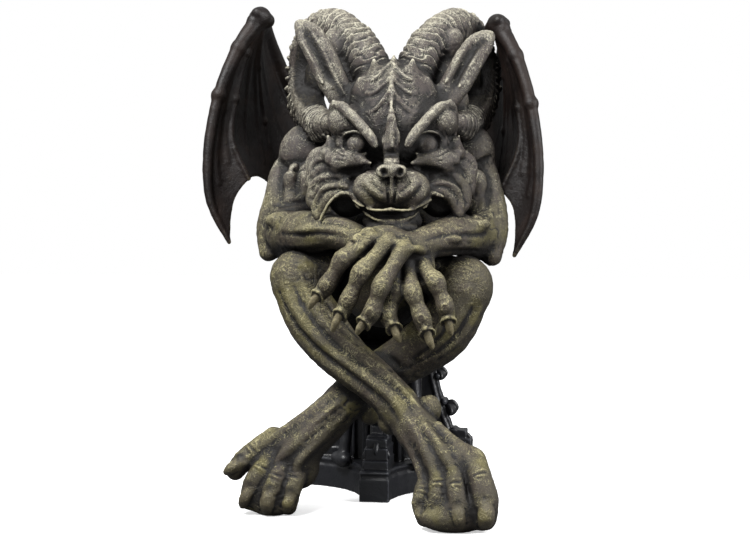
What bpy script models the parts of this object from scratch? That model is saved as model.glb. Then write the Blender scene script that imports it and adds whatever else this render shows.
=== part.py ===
"""Seated gargoyle with crossed legs and folded arms, on a Gothic pedestal: a cast statue in four pieces.

Metres, +Z up, the front towards -Y, the origin at the centre of the pedestal's underside.
The figure and its wings are laid out on a sculptor's grid whose units are shares of the height above the seat.
What the figure touches comes from the pedestal's own sizes: the seat carries the trunk, arms, head and wings,
and the floor carries the feet, which stand just in front of the pedestal's front arm.
"""

import math

import bmesh
import bpy
from mathutils import Euler, Matrix, Vector

STATUE_HEIGHT = 0.336

JOINT_GAP = 0.0003

SEAT_HEIGHT = 0.104
PEDESTAL_REACH = 0.068
PLATE_THICKNESS = 0.021
ARM_WIDTH = 0.020
PLATE_WAIST = 0.026
CORE_RADIUS = 0.024
CAP_WIDTH = 0.078
CAP_THICKNESS = 0.011
CAP_BEVEL = 0.003
RIB_WIDTH = 0.010
RIB_FOOT = 0.056
RIB_NECK = 0.034
CROCKETS_ON_A_RIB = 3
CROCKET_RADIUS = 0.0062
CROCKET_WIDTH = 0.017
BONE_RADIUS = 0.0042
BONE_KNOB_RADIUS = 0.0068
BONE_PLACE = 0.027

WING_MEMBRANE = 0.0044

FIGURE_CLAY = 0.0020
WING_CLAY = 0.0011
FIGURE_TRIANGLES = 5900
WING_TRIANGLES = 900

GRID_HEIGHT = 336.0
GRID_SEAT = 104.0
GRID_FRONT_Y = -68.0
UNIT = (STATUE_HEIGHT - SEAT_HEIGHT) / (GRID_HEIGHT - GRID_SEAT)


def high(x, y, z):
    """A place on the grid that the seat carries."""
    return Vector((x * UNIT, y * UNIT, SEAT_HEIGHT + (z - GRID_SEAT) * UNIT))


def low(x, y, z):
    """A place on the grid that the floor carries, in front of the pedestal."""
    return Vector((x * UNIT, (y - GRID_FRONT_Y) * UNIT - PEDESTAL_REACH, z * UNIT))


def clear_scene():
    for old in list(bpy.data.objects):
        bpy.data.objects.remove(old)


def finish(name, colour, roughness, metallic=0.0):
    """A painted resin finish."""
    material = bpy.data.materials.new(name)
    material.use_nodes = True
    shader = material.node_tree.nodes["Principled BSDF"]
    shader.inputs["Base Color"].default_value = (*colour, 1.0)
    shader.inputs["Roughness"].default_value = roughness
    shader.inputs["Metallic"].default_value = metallic
    return material


def link(name, mesh, material=None):
    made = bpy.data.objects.new(name, mesh)
    bpy.context.scene.collection.objects.link(made)
    if material is not None:
        mesh.materials.clear()
        mesh.materials.append(material)
    return made


def smooth_path(stations, steps):
    """A Catmull-Rom curve through (place, radius) stations."""
    path = []
    last = len(stations) - 1
    for i in range(last):
        before, start, end, after = (stations[max(0, min(last, k))] for k in (i - 1, i, i + 1, i + 2))
        for step in range(steps):
            t = step / steps
            weights = (
                0.5 * (-t + 2 * t * t - t**3),
                0.5 * (2 - 5 * t * t + 3 * t**3),
                0.5 * (t + 4 * t * t - 3 * t**3),
                0.5 * (-t * t + t**3),
            )
            place = Vector()
            radius = 0.0
            for weight, (at, size) in zip(weights, (before, start, end, after)):
                place += weight * at
                radius += weight * size
            path.append((place, radius))
    path.append(stations[-1])
    return path


def roll(clay, stations, steps=4, sides=14):
    """A rolled limb of clay with round ends, through (place, radius in units) stations."""
    path = smooth_path([(place, size * UNIT) for place, size in stations], steps)
    start_way = (path[0][0] - path[1][0]).normalized()
    end_way = (path[-1][0] - path[-2][0]).normalized()
    cap_turns = (math.radians(25), math.radians(50), math.radians(75))
    head = [(path[0][0] + start_way * path[0][1] * math.sin(a), path[0][1] * math.cos(a)) for a in cap_turns]
    tail = [(path[-1][0] + end_way * path[-1][1] * math.sin(a), path[-1][1] * math.cos(a)) for a in cap_turns]
    poles = (path[0][0] + start_way * path[0][1], path[-1][0] + end_way * path[-1][1])
    path = head[::-1] + path + tail
    way = (path[1][0] - path[0][0]).normalized()
    side = way.orthogonal().normalized()
    rings = []
    for i, (place, size) in enumerate(path):
        nearby = path[min(i + 1, len(path) - 1)][0] - path[max(i - 1, 0)][0]
        side = (side - nearby.normalized() * side.dot(nearby.normalized())).normalized()
        other = nearby.normalized().cross(side)
        turns = [2 * math.pi * k / sides for k in range(sides)]
        rings.append([clay.verts.new(place + size * (side * math.cos(a) + other * math.sin(a))) for a in turns])
    for first, second in zip(rings, rings[1:]):
        for k in range(sides):
            clay.faces.new((first[k], first[(k + 1) % sides], second[(k + 1) % sides], second[k]))
    start_pole, end_pole = (clay.verts.new(pole) for pole in poles)
    for k in range(sides):
        clay.faces.new((start_pole, rings[0][(k + 1) % sides], rings[0][k]))
        clay.faces.new((end_pole, rings[-1][k], rings[-1][(k + 1) % sides]))


def lump(clay, place, sizes, tilt=(0, 0, 0)):
    """An egg of clay, with its half sizes in units and its tilt in degrees."""
    turn = Euler([math.radians(a) for a in tilt]).to_matrix().to_4x4()
    shape = Matrix.Translation(place) @ turn @ Matrix.Diagonal((*[s * UNIT for s in sizes], 1.0))
    bmesh.ops.create_icosphere(clay, subdivisions=3, radius=1.0, matrix=shape)


def largest_shell(mesh):
    """The mesh without the small shells that a remesh leaves inside or beside the body."""
    bm = bmesh.new()
    bm.from_mesh(mesh)
    unseen = set(bm.verts)
    shells = []
    while unseen:
        shell = [unseen.pop()]
        for vert in shell:
            for edge in vert.link_edges:
                other = edge.other_vert(vert)
                if other in unseen:
                    unseen.remove(other)
                    shell.append(other)
        shells.append(shell)
    keep = max(shells, key=len)
    for shell in shells:
        if shell is not keep:
            bmesh.ops.delete(bm, geom=shell, context="VERTS")
    bm.to_mesh(mesh)
    bm.free()


def evaluated_mesh(source):
    bpy.context.view_layer.update()
    graph = bpy.context.evaluated_depsgraph_get()
    return bpy.data.meshes.new_from_object(source.evaluated_get(graph))


def fuse(name, clay, grain, triangles, material):
    """One body out of overlapping clay: remeshed, smoothed, and thinned to a number of triangles."""
    rough = bpy.data.meshes.new(name)
    clay.to_mesh(rough)
    clay.free()
    helper = link(name + ".clay", rough)
    remesh = helper.modifiers.new("Fuse", "REMESH")
    remesh.mode = "VOXEL"
    remesh.voxel_size = grain
    soften = helper.modifiers.new("Soften", "SMOOTH")
    soften.factor = 0.5
    soften.iterations = 3
    body = evaluated_mesh(helper)
    bpy.data.objects.remove(helper)
    largest_shell(body)
    body.name = name
    made = link(name, body, material)
    thin = made.modifiers.new("Thin", "DECIMATE")
    thin.ratio = triangles / sum(len(face.vertices) - 2 for face in body.polygons)
    return made


def cutter_box(name, lowest, highest, turn=None, about=None):
    """A box that cuts, and isn't part of the statue."""
    bm = bmesh.new()
    bmesh.ops.create_cube(bm, size=1.0)
    middle = (Vector(lowest) + Vector(highest)) / 2
    spans = [b - a for a, b in zip(lowest, highest)]
    bmesh.ops.transform(bm, matrix=Matrix.Translation(middle) @ Matrix.Diagonal((*spans, 1.0)), verts=bm.verts)
    if turn is not None:
        bmesh.ops.transform(bm, matrix=Matrix.Translation(about) @ turn, verts=bm.verts)
    mesh = bpy.data.meshes.new(name)
    bm.to_mesh(mesh)
    bm.free()
    made = link(name, mesh)
    made.hide_render = True
    made.display_type = "WIRE"
    return made


def cut(target, cutter):
    trim = target.modifiers.new("Cut", "BOOLEAN")
    trim.operation = "DIFFERENCE"
    trim.object = cutter


HEAD_CENTRE = (14.0, -72.0)
HEAD_YAW = 8.5


def head(side, x, y, z):
    """A place on the head's own grid: x is measured out from the middle of the face, on side -1 or +1."""
    yaw = math.radians(HEAD_YAW)
    across, deep = side * x, y - HEAD_CENTRE[1]
    return high(
        HEAD_CENTRE[0] + across * math.cos(yaw) - deep * math.sin(yaw),
        HEAD_CENTRE[1] + across * math.sin(yaw) + deep * math.cos(yaw),
        z,
    )


def trunk(clay):
    lump(clay, high(5, 10, 118), (40, 36, 26))
    lump(clay, high(5, -10, 148), (34, 31, 30))
    lump(clay, high(5, 2, 185), (42, 34, 38))
    lump(clay, high(8, -62, 152), (34, 36, 36))
    lump(clay, high(8, -66, 178), (40, 36, 24))
    lump(clay, high(5, 10, 220), (44, 28, 28))
    for side in (-1, 1):
        lump(clay, high(5 + 29 * side, -6, 232), (22, 23, 18))
        lump(clay, high(5 + 22 * side, 26, 212), (18, 13, 27), (0, 12 * side, 0))
    roll(clay, [(high(5, 0, 236), 27), (high(8, -26, 246), 24), (high(11, -52, 250), 22)])
    spine = ((28, 118), (37, 140), (40, 162), (41, 184), (39, 206), (33, 228), (18, 246))
    for y, z in spine:
        lump(clay, high(5, y, z), (6.5, 6, 7))
    roll(clay, [(high(5, y, z), 4.5) for y, z in spine])


def arms(clay):
    roll(clay, [(high(-48, -22, 230), 18.5), (high(-54, -44, 211), 18), (high(-60, -66, 185), 15)])
    roll(clay, [(high(54, -22, 230), 18.5), (high(62, -44, 211), 18), (high(72, -66, 185), 15)])
    lump(clay, high(-48, -52, 207), (13, 14, 22), (25, 0, 0))
    lump(clay, high(56, -54, 207), (13, 14, 22), (25, 0, 0))
    left_forearm = [(high(-59, -70, 178), 15), (high(-41, -92, 181), 14.5), (high(-20, -108, 182), 11)]
    roll(clay, left_forearm + [(high(0, -120, 176), 10), (high(16, -126, 168), 10.5)])
    right_forearm = [(high(71, -70, 178), 15.5), (high(59, -92, 180), 14), (high(45, -112, 177), 11.5)]
    roll(clay, right_forearm + [(high(32, -126, 174), 10.5)])
    lump(clay, high(22, -131, 174), (19, 9, 11), (0, 16, 0))
    lump(clay, high(30, -123, 160), (15, 9, 14))


def finger(clay, places, thick):
    knuckle, middle, end, tip = places
    roll(clay, [(knuckle, thick * 1.12), (middle, thick * 1.14), (end, thick), (end.lerp(tip, 0.4), thick * 0.85)])
    roll(clay, [(end.lerp(tip, 0.2), thick * 0.75), (end.lerp(tip, 0.6), thick * 0.65), (tip, thick * 0.3)])


def hands(clay):
    upper_hand = (
        ((6, -134, 178), (-5, -142, 162), (-20, -140, 143), (-29, -134, 131)),
        ((18, -137, 174), (6, -147, 156), (-3, -145, 138), (-17, -138, 117)),
        ((30, -139, 170), (19, -149, 149), (11, -147, 131), (2, -140, 117)),
    )
    lower_hand = (
        ((24, -130, 158), (24, -137, 141), (26, -137, 128), (28, -132, 114)),
        ((32, -130, 156), (37, -139, 136), (41, -138, 124), (45, -131, 111)),
        ((40, -128, 158), (48, -137, 148), (53, -135, 134), (54, -127, 118)),
    )
    for places in upper_hand:
        finger(clay, [high(*place) for place in places], 5.0)
    for places in lower_hand:
        finger(clay, [high(*place) for place in places], 4.8)
    finger(clay, [high(*place) for place in ((20, -126, 182), (6, -132, 186), (0, -136, 182), (-4, -138, 176))], 4.2)


def legs(clay):
    roll(clay, [(high(-18, 4, 126), 26), (high(-34, -46, 141), 24), (high(-46, -86, 151), 19)])
    roll(clay, [(high(28, 4, 126), 26), (high(48, -46, 138), 24), (high(62, -84, 147), 19)])
    lump(clay, high(-46, -96, 152), (18, 15, 18))
    lump(clay, high(-31, -86, 158), (15, 15, 15))
    lump(clay, high(62, -93, 148), (18, 15, 19))
    lump(clay, high(45, -84, 154), (15, 15, 15))
    near_shin = [(high(-46, -96, 146), 16), (high(-33, -102, 124), 18), (high(-14, -109, 103), 15.5)]
    roll(clay, near_shin + [(low(8, -115, 87), 13.5), (low(24, -116, 71), 12.5)])
    far_shin = [(high(62, -91, 142), 17), (high(49, -90, 119), 19), (high(28, -89, 102), 16.5)]
    roll(clay, far_shin + [(low(4, -92, 88), 13.5), (low(-14, -95, 73), 12.5)])


def feet(clay):
    roll(clay, [(low(23, -116, 72), 12.5), (low(35, -122, 57), 14), (low(48, -130, 38), 14)])
    lump(clay, low(54, -132, 34), (23, 13, 22), (0, -35, 0))
    lump(clay, low(17, -110, 61), (8, 8, 8))
    near_toes = (
        ((44, -136, 26), (41, -145, 17), (39, -149, 5), 6.4),
        ((52, -138, 30), (51, -151, 20), (50, -157, 6), 7.4),
        ((62, -138, 31), (64, -153, 22), (64, -160, 6), 7.6),
        ((70, -134, 31), (77, -149, 22), (84, -153, 6), 7.8),
    )
    roll(clay, [(low(-12, -95, 74), 13), (low(-28, -100, 56), 15), (low(-45, -104, 38), 15)])
    lump(clay, low(-45, -104, 33), (24, 13, 23), (0, 40, 0))
    lump(clay, low(2, -92, 66), (8, 7, 9))
    far_toes = (
        ((-56, -104, 46), (-75, -112, 40), (-88, -116, 32), 6.8),
        ((-58, -106, 33), (-69, -117, 25), (-77, -120, 8), 7.4),
        ((-52, -106, 25), (-60, -118, 20), (-65, -121, 5), 7.4),
        ((-42, -103, 21), (-47, -112, 16), (-51, -115, 5), 7.0),
    )
    for base, knuckle, tip, thick in near_toes + far_toes:
        roll(clay, [(low(*base), thick), (low(*knuckle), thick), (low(*tip), thick * 0.8)])


def skull(clay):
    lump(clay, head(1, 0, -74, 254), (35, 34, 31))
    lump(clay, head(1, 0, -92, 246), (34, 26, 25))
    lump(clay, head(1, 0, -86, 270), (23, 24, 18), (20, 0, HEAD_YAW))
    crest = ((-122, 256, 3.4), (-108, 270, 4), (-90, 281, 5), (-70, 292, 5), (-44, 282, 6))
    roll(clay, [(head(1, 0, y, z), size) for y, z, size in crest])
    for side in (-1, 1):
        brow = [(38, -98, 254, 5), (36, -108, 263, 5.5), (24, -119, 256, 5.5), (10, -129, 241, 5)]
        roll(clay, [(head(side, x, y, z), size) for x, y, z, size in brow])
        lump(clay, head(side, 27, -102, 253), (12, 10, 10))
        lump(clay, head(side, 21, -112, 238), (6.4, 6.4, 6.4))
        lump(clay, head(side, 29, -104, 222), (12, 12, 12))
        lump(clay, head(side, 38, -92, 231), (9, 9, 8))
        roll(clay, [(head(side, 20, -84, 270), 5), (head(side, 22.5, -86, 279), 3), (head(side, 23, -87, 286), 1.4)])


def muzzle(clay):
    roll(clay, [(head(1, 0, -118, 240), 6), (head(1, 0, -132, 224), 6), (head(1, 0, -136, 219), 5)])
    lump(clay, head(1, 0, -108, 212), (24, 22, 18))
    lump(clay, head(1, 0, -106, 190), (17, 20, 9))
    for side in (-1, 1):
        lump(clay, head(side, 5.5, -135, 219), (4, 4, 4))
        lump(clay, head(side, 12, -122, 208), (15, 13, 12))
        lip = [(0, -133, 196, 4), (12, -130, 196, 4), (22, -120, 199, 3.5), (28, -110, 204, 2.5)]
        roll(clay, [(head(side, x, y, z), size) for x, y, z, size in lip])
        jowls = (
            ((26, -106, 212, 8), (40, -104, 208, 7), (47, -104, 200, 5), (48, -106, 192, 2)),
            ((32, -100, 220, 8), (46, -96, 218, 6), (54, -94, 211, 4), (55, -95, 204, 2)),
            ((30, -94, 200, 10), (42, -92, 198, 8), (50, -92, 206, 4), (52, -92, 210, 2)),
        )
        for lock in jowls:
            roll(clay, [(head(side, x, y, z), size) for x, y, z, size in lock])


def horns_and_ears(clay):
    for side in (-1, 1):
        coil = (
            (14, -68, 276, 14.5),
            (21, -61, 297, 14),
            (31, -48, 312, 13),
            (44, -32, 319, 12.4),
            (55, -18, 312, 13),
            (60.5, -10, 296, 13.6),
            (60.5, -15, 277, 13.4),
            (55, -33, 262, 12.4),
            (48, -54, 252, 10.8),
            (39, -74, 249, 9.2),
            (31, -90, 251, 6),
        )
        roll(clay, [(head(side, x, y, z), size) for x, y, z, size in coil])
        ear = ((28, -76, 266, 8), (35, -74, 282, 8.5), (44, -70, 300, 8), (52, -68, 312, 6), (58, -68, 321, 3.4))
        roll(clay, [(head(side, x, y, z), size) for x, y, z, size in ear])


def figure(material):
    """The gargoyle, cast as one, down to the seat and the soles."""
    clay = bmesh.new()
    for sculpt in (trunk, arms, hands, legs, feet, skull, muzzle, horns_and_ears):
        sculpt(clay)
    made = fuse("gargoyle_figure", clay, FIGURE_CLAY, FIGURE_TRIANGLES, material)
    seat = cutter_box(
        "seat_cutter",
        (-STATUE_HEIGHT, -CAP_WIDTH / 2 - 10 * UNIT, -STATUE_HEIGHT),
        (STATUE_HEIGHT, STATUE_HEIGHT, SEAT_HEIGHT + JOINT_GAP),
    )
    floor = cutter_box(
        "floor_cutter",
        (-STATUE_HEIGHT, -STATUE_HEIGHT, -0.2 * STATUE_HEIGHT),
        (STATUE_HEIGHT, STATUE_HEIGHT, 0.0),
    )
    cut(made, seat)
    cut(made, floor)
    return made


WING_ROOT = (20, 36, 214)
WING_SEAT_YAW = 28.0
WING_LEAN = 4.0
WING_DRIFT = -3.0


def wing_frame(side):
    """The flat joint between a wing and the back: its place, and a turn whose +Y points out of the back."""
    turn = Matrix.Rotation(math.radians(-WING_SEAT_YAW * side), 4, "Z")
    return high(5 + WING_ROOT[0] * side, WING_ROOT[1], WING_ROOT[2]), turn


def wing_seat_cutter(side, outwards):
    """A box on one side of the wing's joint plane, half the gap away from it."""
    place, turn = wing_frame(side)
    half = 30 * UNIT
    deep = 60 * UNIT
    if outwards:
        return cutter_box(f"back_cutter_{side}", (-half, -JOINT_GAP / 2, -half), (half, deep, half), turn, place)
    return cutter_box(f"root_cutter_{side}", (-half, -deep, -half), (half, JOINT_GAP / 2, half), turn, place)


def wing_place(side, x, y, z):
    """A place on a wing: the left one, at -1, is set a little higher than the right one."""
    return high(side * x + WING_DRIFT, y, z - side * WING_LEAN)


def wing_bones(side):
    """The wing's finger bones, each from the knuckle to its end, and the arm from the knuckle to the root."""
    fingers = (
        ((82, -30, 325), (95, -42, 303), (106, -54, 270), (110, -62, 232), (104, -66, 200), (92, -66, 170)),
        ((82, -30, 325), (91, -34, 300), (97, -42, 268), (99, -50, 236), (93, -55, 207)),
        ((82, -30, 325), (87, -18, 292), (86, -4, 255), (82, 4, 226), (78, 8, 204)),
    )
    root, turn = wing_frame(side)
    inwards = turn.to_3x3() @ Vector((0, -10 * UNIT, 0))
    arm = [wing_place(side, *place) for place in ((82, -30, 325), (85, 8, 312), (69, 34, 272))]
    return [[wing_place(side, *place) for place in finger] for finger in fingers] + [arm + [root, root + inwards]]


def even_points(places, count):
    """Points at even steps along a smooth curve through some places."""
    path = [place for place, _ in smooth_path([(place, 0.0) for place in places], 12)]
    return [path[round(k * (len(path) - 1) / count)] for k in range(count + 1)]


def web(clay, near, far):
    """A sheet of membrane between two bones, hollowed between them, with a scalloped hem."""
    across = 6
    down = len(near) - 1
    sag = 4.0 * UNIT
    sheet = bmesh.new()
    rows = []
    for k in range(down + 1):
        row = []
        for j in range(across + 1):
            share = j / across
            hollow = 4 * share * (1 - share) * k / down
            reach = max(0.0, k - hollow * 2.2)
            step = min(int(reach), down - 1)
            left = near[step].lerp(near[step + 1], reach - step)
            right = far[step].lerp(far[step + 1], reach - step)
            row.append(sheet.verts.new(left.lerp(right, share) + Vector((0, sag * hollow, 0))))
        rows.append(row)
    for k in range(1, down):
        for j in range(across):
            sheet.faces.new((rows[k][j], rows[k][j + 1], rows[k + 1][j + 1], rows[k + 1][j]))
    sheet.normal_update()
    rows = rows[1:]
    sides = []
    for half in (WING_MEMBRANE / 2, -WING_MEMBRANE / 2):
        sides.append([[clay.verts.new(v.co + v.normal * half) for v in row] for row in rows])
    front, back = sides
    for k in range(down - 1):
        for j in range(across):
            corners = ((k, j), (k, j + 1), (k + 1, j + 1), (k + 1, j))
            clay.faces.new([front[a][b] for a, b in corners])
            clay.faces.new([back[a][b] for a, b in reversed(corners)])
    rim = [(0, j) for j in range(across)] + [(k, across) for k in range(down - 1)]
    rim += [(down - 1, j) for j in range(across, 0, -1)] + [(k, 0) for k in range(down - 1, 0, -1)]
    for (a, b), (c, d) in zip(rim, rim[1:] + rim[:1]):
        clay.faces.new((front[a][b], back[a][b], back[c][d], front[c][d]))
    sheet.free()


def wing(side, name, material):
    """A bat's wing, cast on its own: a membrane stretched between finger bones, and the arm that carries it."""
    bones = wing_bones(side)
    sizes = ((7.5, 5.4, 4.8, 4.4, 3.8, 2.2), (5, 2.8, 2.4, 2.2, 1.8), (5, 2.8, 2.4, 2.2, 1.8), (8, 6.5, 7, 9, 9))
    clay = bmesh.new()
    for bone, thick in zip(bones, sizes):
        roll(clay, list(zip(bone, thick)), steps=3, sides=10)
    hems = [even_points(bone, 12) for bone in bones[:3] + [bones[3][:4]]]
    for near, far in zip(hems, hems[1:]):
        web(clay, near, far)
    made = fuse(name, clay, WING_CLAY, WING_TRIANGLES, material)
    cut(made, wing_seat_cutter(side, outwards=False))
    return made


def prism(name, outline, bottom, top):
    """A block with a plan raised from one height to another."""
    bm = bmesh.new()
    base = bm.faces.new([bm.verts.new((x, y, bottom)) for x, y in outline])
    raised = bmesh.ops.extrude_face_region(bm, geom=[base])
    tops = [v for v in raised["geom"] if isinstance(v, bmesh.types.BMVert)]
    bmesh.ops.translate(bm, vec=(0, 0, top - bottom), verts=tops)
    bmesh.ops.recalc_face_normals(bm, faces=bm.faces)
    mesh = bpy.data.meshes.new(name)
    bm.to_mesh(mesh)
    bm.free()
    return mesh


def star_plan(reach, width, waist, steps=8):
    """Four square-ended arms, with a round hollow between each two that comes to the waist on the diagonal."""
    half = width / 2
    centre = (half**2 + reach**2 - 2 * waist**2) / (2 * (half + reach) - 4 * waist)
    radius = math.hypot(reach - centre, half - centre)
    first = math.atan2(half - centre, reach - centre) % (2 * math.pi)
    last = math.pi * 2.5 - first
    arc = []
    for k in range(steps + 1):
        turn = first + (last - first) * k / steps
        arc.append((centre + radius * math.cos(turn), centre + radius * math.sin(turn)))
    plan = []
    for quarter in range(4):
        c, s = ((1, 0), (0, 1), (-1, 0), (0, -1))[quarter]
        plan += [(x * c - y * s, x * s + y * c) for x, y in arc]
    return plan


def regular_plan(radius, sides):
    """A regular plan with a flat side towards the front, by the radius of the circle inside it."""
    outer = radius / math.cos(math.pi / sides)
    turns = [2 * math.pi * (k + 0.5) / sides for k in range(sides)]
    return [(outer * math.cos(a), outer * math.sin(a)) for a in turns]


def rib_edge(share):
    """Where a rib's hollow outer edge runs, at a share of the way up from the plate to the cap."""
    reach = RIB_NECK + (RIB_FOOT - RIB_NECK) * (1 - share) ** 1.6
    return reach, PLATE_THICKNESS + (SEAT_HEIGHT - CAP_THICKNESS - PLATE_THICKNESS) * share


def rib(bury, steps=7):
    """One upright rib on the plate's +X arm, with rolled crockets along its edge."""
    bm = bmesh.new()
    edge = [rib_edge(k / steps) for k in range(steps + 1)]
    top = edge[-1][1] + bury
    outline = [(0, edge[0][1] - bury), (RIB_FOOT, edge[0][1] - bury)] + edge + [(RIB_NECK, top), (0, top)]
    face = bm.faces.new([bm.verts.new((x, -RIB_WIDTH / 2, z)) for x, z in outline])
    raised = bmesh.ops.extrude_face_region(bm, geom=[face])
    far = [v for v in raised["geom"] if isinstance(v, bmesh.types.BMVert)]
    bmesh.ops.translate(bm, vec=(0, RIB_WIDTH, 0), verts=far)
    bmesh.ops.recalc_face_normals(bm, faces=bm.faces)
    mesh = bpy.data.meshes.new("rib")
    bm.to_mesh(mesh)
    bm.free()
    return mesh


def crocket(number):
    """A rolled leaf across the rib on the +X arm; the rolls are smaller towards the top."""
    share = (number + 0.42) / CROCKETS_ON_A_RIB
    reach, height = rib_edge(share)
    shrink = 1 - 0.35 * share
    radius = CROCKET_RADIUS * shrink
    place = Matrix.Translation((reach + radius * 0.6, 0, height))
    shape = place @ Matrix.Diagonal((radius, CROCKET_WIDTH * shrink / 2, radius, 1))
    bm = bmesh.new()
    bmesh.ops.create_icosphere(bm, subdivisions=2, radius=1.0, matrix=shape)
    mesh = bpy.data.meshes.new("crocket")
    bm.to_mesh(mesh)
    bm.free()
    return mesh


def pedestal(material):
    """A Gothic pedestal cast as one: a star plate, four ribs with crockets, bones between them, and a cap."""
    stock = bpy.data.collections.new("pedestal_stock")
    stock.hide_render = True
    bpy.context.scene.collection.children.link(stock)

    def add(mesh, turn=0.0):
        block = bpy.data.objects.new(mesh.name, mesh)
        block.rotation_euler.z = turn
        block.display_type = "WIRE"
        block.hide_render = True
        stock.objects.link(block)

    cap_foot = SEAT_HEIGHT - CAP_THICKNESS
    bury = PLATE_THICKNESS / 2
    add(prism("core", regular_plan(CORE_RADIUS, 8), bury, cap_foot + CAP_THICKNESS / 2))
    for quarter in range(4):
        turn = quarter * math.pi / 2
        add(rib(min(bury, CAP_THICKNESS / 3)), turn)
        for number in range(CROCKETS_ON_A_RIB):
            add(crocket(number), turn)
        add(bone(bury, cap_foot + CAP_THICKNESS / 2), turn + math.pi / 4)
    cap = prism("cap", regular_plan(CAP_WIDTH / 2, 8), cap_foot, SEAT_HEIGHT)
    bm = bmesh.new()
    bm.from_mesh(cap)
    lower_rim = [edge for edge in bm.edges if all(v.co.z < cap_foot + 1e-6 for v in edge.verts)]
    bmesh.ops.bevel(bm, geom=lower_rim, offset=CAP_BEVEL, affect="EDGES")
    bm.to_mesh(cap)
    bm.free()
    add(cap)

    plate = prism("plate", star_plan(PEDESTAL_REACH, ARM_WIDTH, PLATE_WAIST), 0.0, PLATE_THICKNESS)
    made = link("gothic_pedestal", plate, material)
    join = made.modifiers.new("Join", "BOOLEAN")
    join.operation = "UNION"
    join.operand_type = "COLLECTION"
    join.collection = stock
    return made


def bone(foot, top):
    """A bone standing between two ribs, with a knob at each end, turned about its own upright axis."""
    knob, shaft = BONE_KNOB_RADIUS, BONE_RADIUS
    low_knob = PLATE_THICKNESS + knob * 0.7
    high_knob = SEAT_HEIGHT - CAP_THICKNESS - knob * 0.7
    profile = [(shaft, foot), (shaft, low_knob - knob), (knob, low_knob), (shaft, low_knob + knob)]
    profile += [(shaft, high_knob - knob), (knob, high_knob), (shaft, high_knob + knob), (shaft, top)]
    bm = bmesh.new()
    path = [bm.verts.new((radius, 0, z)) for radius, z in profile]
    edges = [bm.edges.new(pair) for pair in zip(path, path[1:])]
    bmesh.ops.spin(bm, geom=path + edges, cent=(0, 0, 0), axis=(0, 0, 1), angle=2 * math.pi, steps=8)
    bmesh.ops.remove_doubles(bm, verts=bm.verts, dist=1e-6)
    bmesh.ops.holes_fill(bm, edges=bm.edges)
    bmesh.ops.recalc_face_normals(bm, faces=bm.faces)
    bmesh.ops.translate(bm, vec=(BONE_PLACE, 0, 0), verts=bm.verts)
    mesh = bpy.data.meshes.new("bone")
    bm.to_mesh(mesh)
    bm.free()
    return mesh


def main():
    clear_scene()
    stone = finish("antiqued_stone_resin", (0.20, 0.19, 0.15), 0.75)
    hide = finish("dark_wing_resin", (0.09, 0.075, 0.065), 0.7)
    slate = finish("slate_black_resin", (0.055, 0.058, 0.064), 0.5)
    pedestal(slate)
    body = figure(stone)
    for side, name in ((-1, "left_wing"), (1, "right_wing")):
        cut(body, wing_seat_cutter(side, outwards=True))
        wing(side, name, hide)


main()
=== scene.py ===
# %% [markdown]
# # A gargoyle statuette in painted resin
#
# The real object is a small cast statue: a horned, winged gargoyle that sits with folded arms and crossed
# shins on a dark Gothic pedestal. A sculptor made it once in clay, a mould was taken, and every copy is
# cast in resin, painted dark, and dry-brushed with a paler colour that catches only on the raised edges.
#
# We follow the same order. First comes clay, then the casting, then the paint.

import math

import bmesh
import bpy
import numpy as np
import openvdb
from mathutils import Euler, Matrix, Vector


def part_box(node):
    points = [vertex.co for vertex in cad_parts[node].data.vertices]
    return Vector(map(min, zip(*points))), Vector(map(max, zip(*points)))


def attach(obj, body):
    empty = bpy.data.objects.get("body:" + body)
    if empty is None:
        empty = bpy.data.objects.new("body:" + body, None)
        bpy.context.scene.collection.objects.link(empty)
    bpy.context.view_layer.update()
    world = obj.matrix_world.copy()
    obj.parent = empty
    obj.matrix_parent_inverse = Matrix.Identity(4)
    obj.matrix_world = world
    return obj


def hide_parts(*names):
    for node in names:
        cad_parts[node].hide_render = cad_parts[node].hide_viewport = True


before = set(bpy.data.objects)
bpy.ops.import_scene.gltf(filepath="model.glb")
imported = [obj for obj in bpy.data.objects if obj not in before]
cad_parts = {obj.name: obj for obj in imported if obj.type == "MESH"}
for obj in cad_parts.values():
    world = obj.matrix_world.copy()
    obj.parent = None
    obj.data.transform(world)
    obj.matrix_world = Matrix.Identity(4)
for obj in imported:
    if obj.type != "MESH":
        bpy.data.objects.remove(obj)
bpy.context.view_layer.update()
print("nodes:", sorted(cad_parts))

# %% [markdown]
# ## The sculptor's grid
#
# The clay is laid out in units of about a millimetre, with the floor at 0, the seat on top of the pedestal
# at `GRID_SEAT` and the top of the horns at `GRID_HORN_TOP`. The frame says how high those two really are,
# so one number, `UNIT`, turns the grid into metres, and the visible figure can't drift away from its
# solids.

# %% Work out the grid's unit from the frame
GRID_SEAT = 104.0
GRID_HORN_TOP = 331.2
GRID_PLATE = 21.0
GLUE_LINE = 0.3
SEAT_FRONT = -49.0

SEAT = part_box("gothic_pedestal")[1][2]
HORN_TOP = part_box("gargoyle_figure")[1][2]
UNIT = (HORN_TOP - SEAT) / (GRID_HORN_TOP - GRID_SEAT)


def to_metres(points):
    """Grid places, one in each row, as places in the frame."""
    places = np.array(points, dtype=np.float64) * UNIT
    places[:, 2] += SEAT - GRID_SEAT * UNIT
    return places


print(f"one grid unit is {UNIT * 1000:.4f} mm, and the seat is {SEAT * 1000:.1f} mm up")

# %% [markdown]
# ## Clay as a field of distances
#
# Boxes and tubes joined by Booleans always look like boxes and tubes. Clay doesn't, because two lumps that
# touch run into each other. A good way to get that is a block of space that holds, at every point, the
# distance to the nearest skin: below zero is inside the clay. Two shapes are then joined by taking the
# smaller distance, and where the two are nearly equal, a little more is added, which makes the soft fillet
# that a thumb would leave. The same block lets us press a groove, cut a hollow, or ask where a needle first
# meets the skin.

# %% Distances to simple shapes
FAR = 40.0


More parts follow.
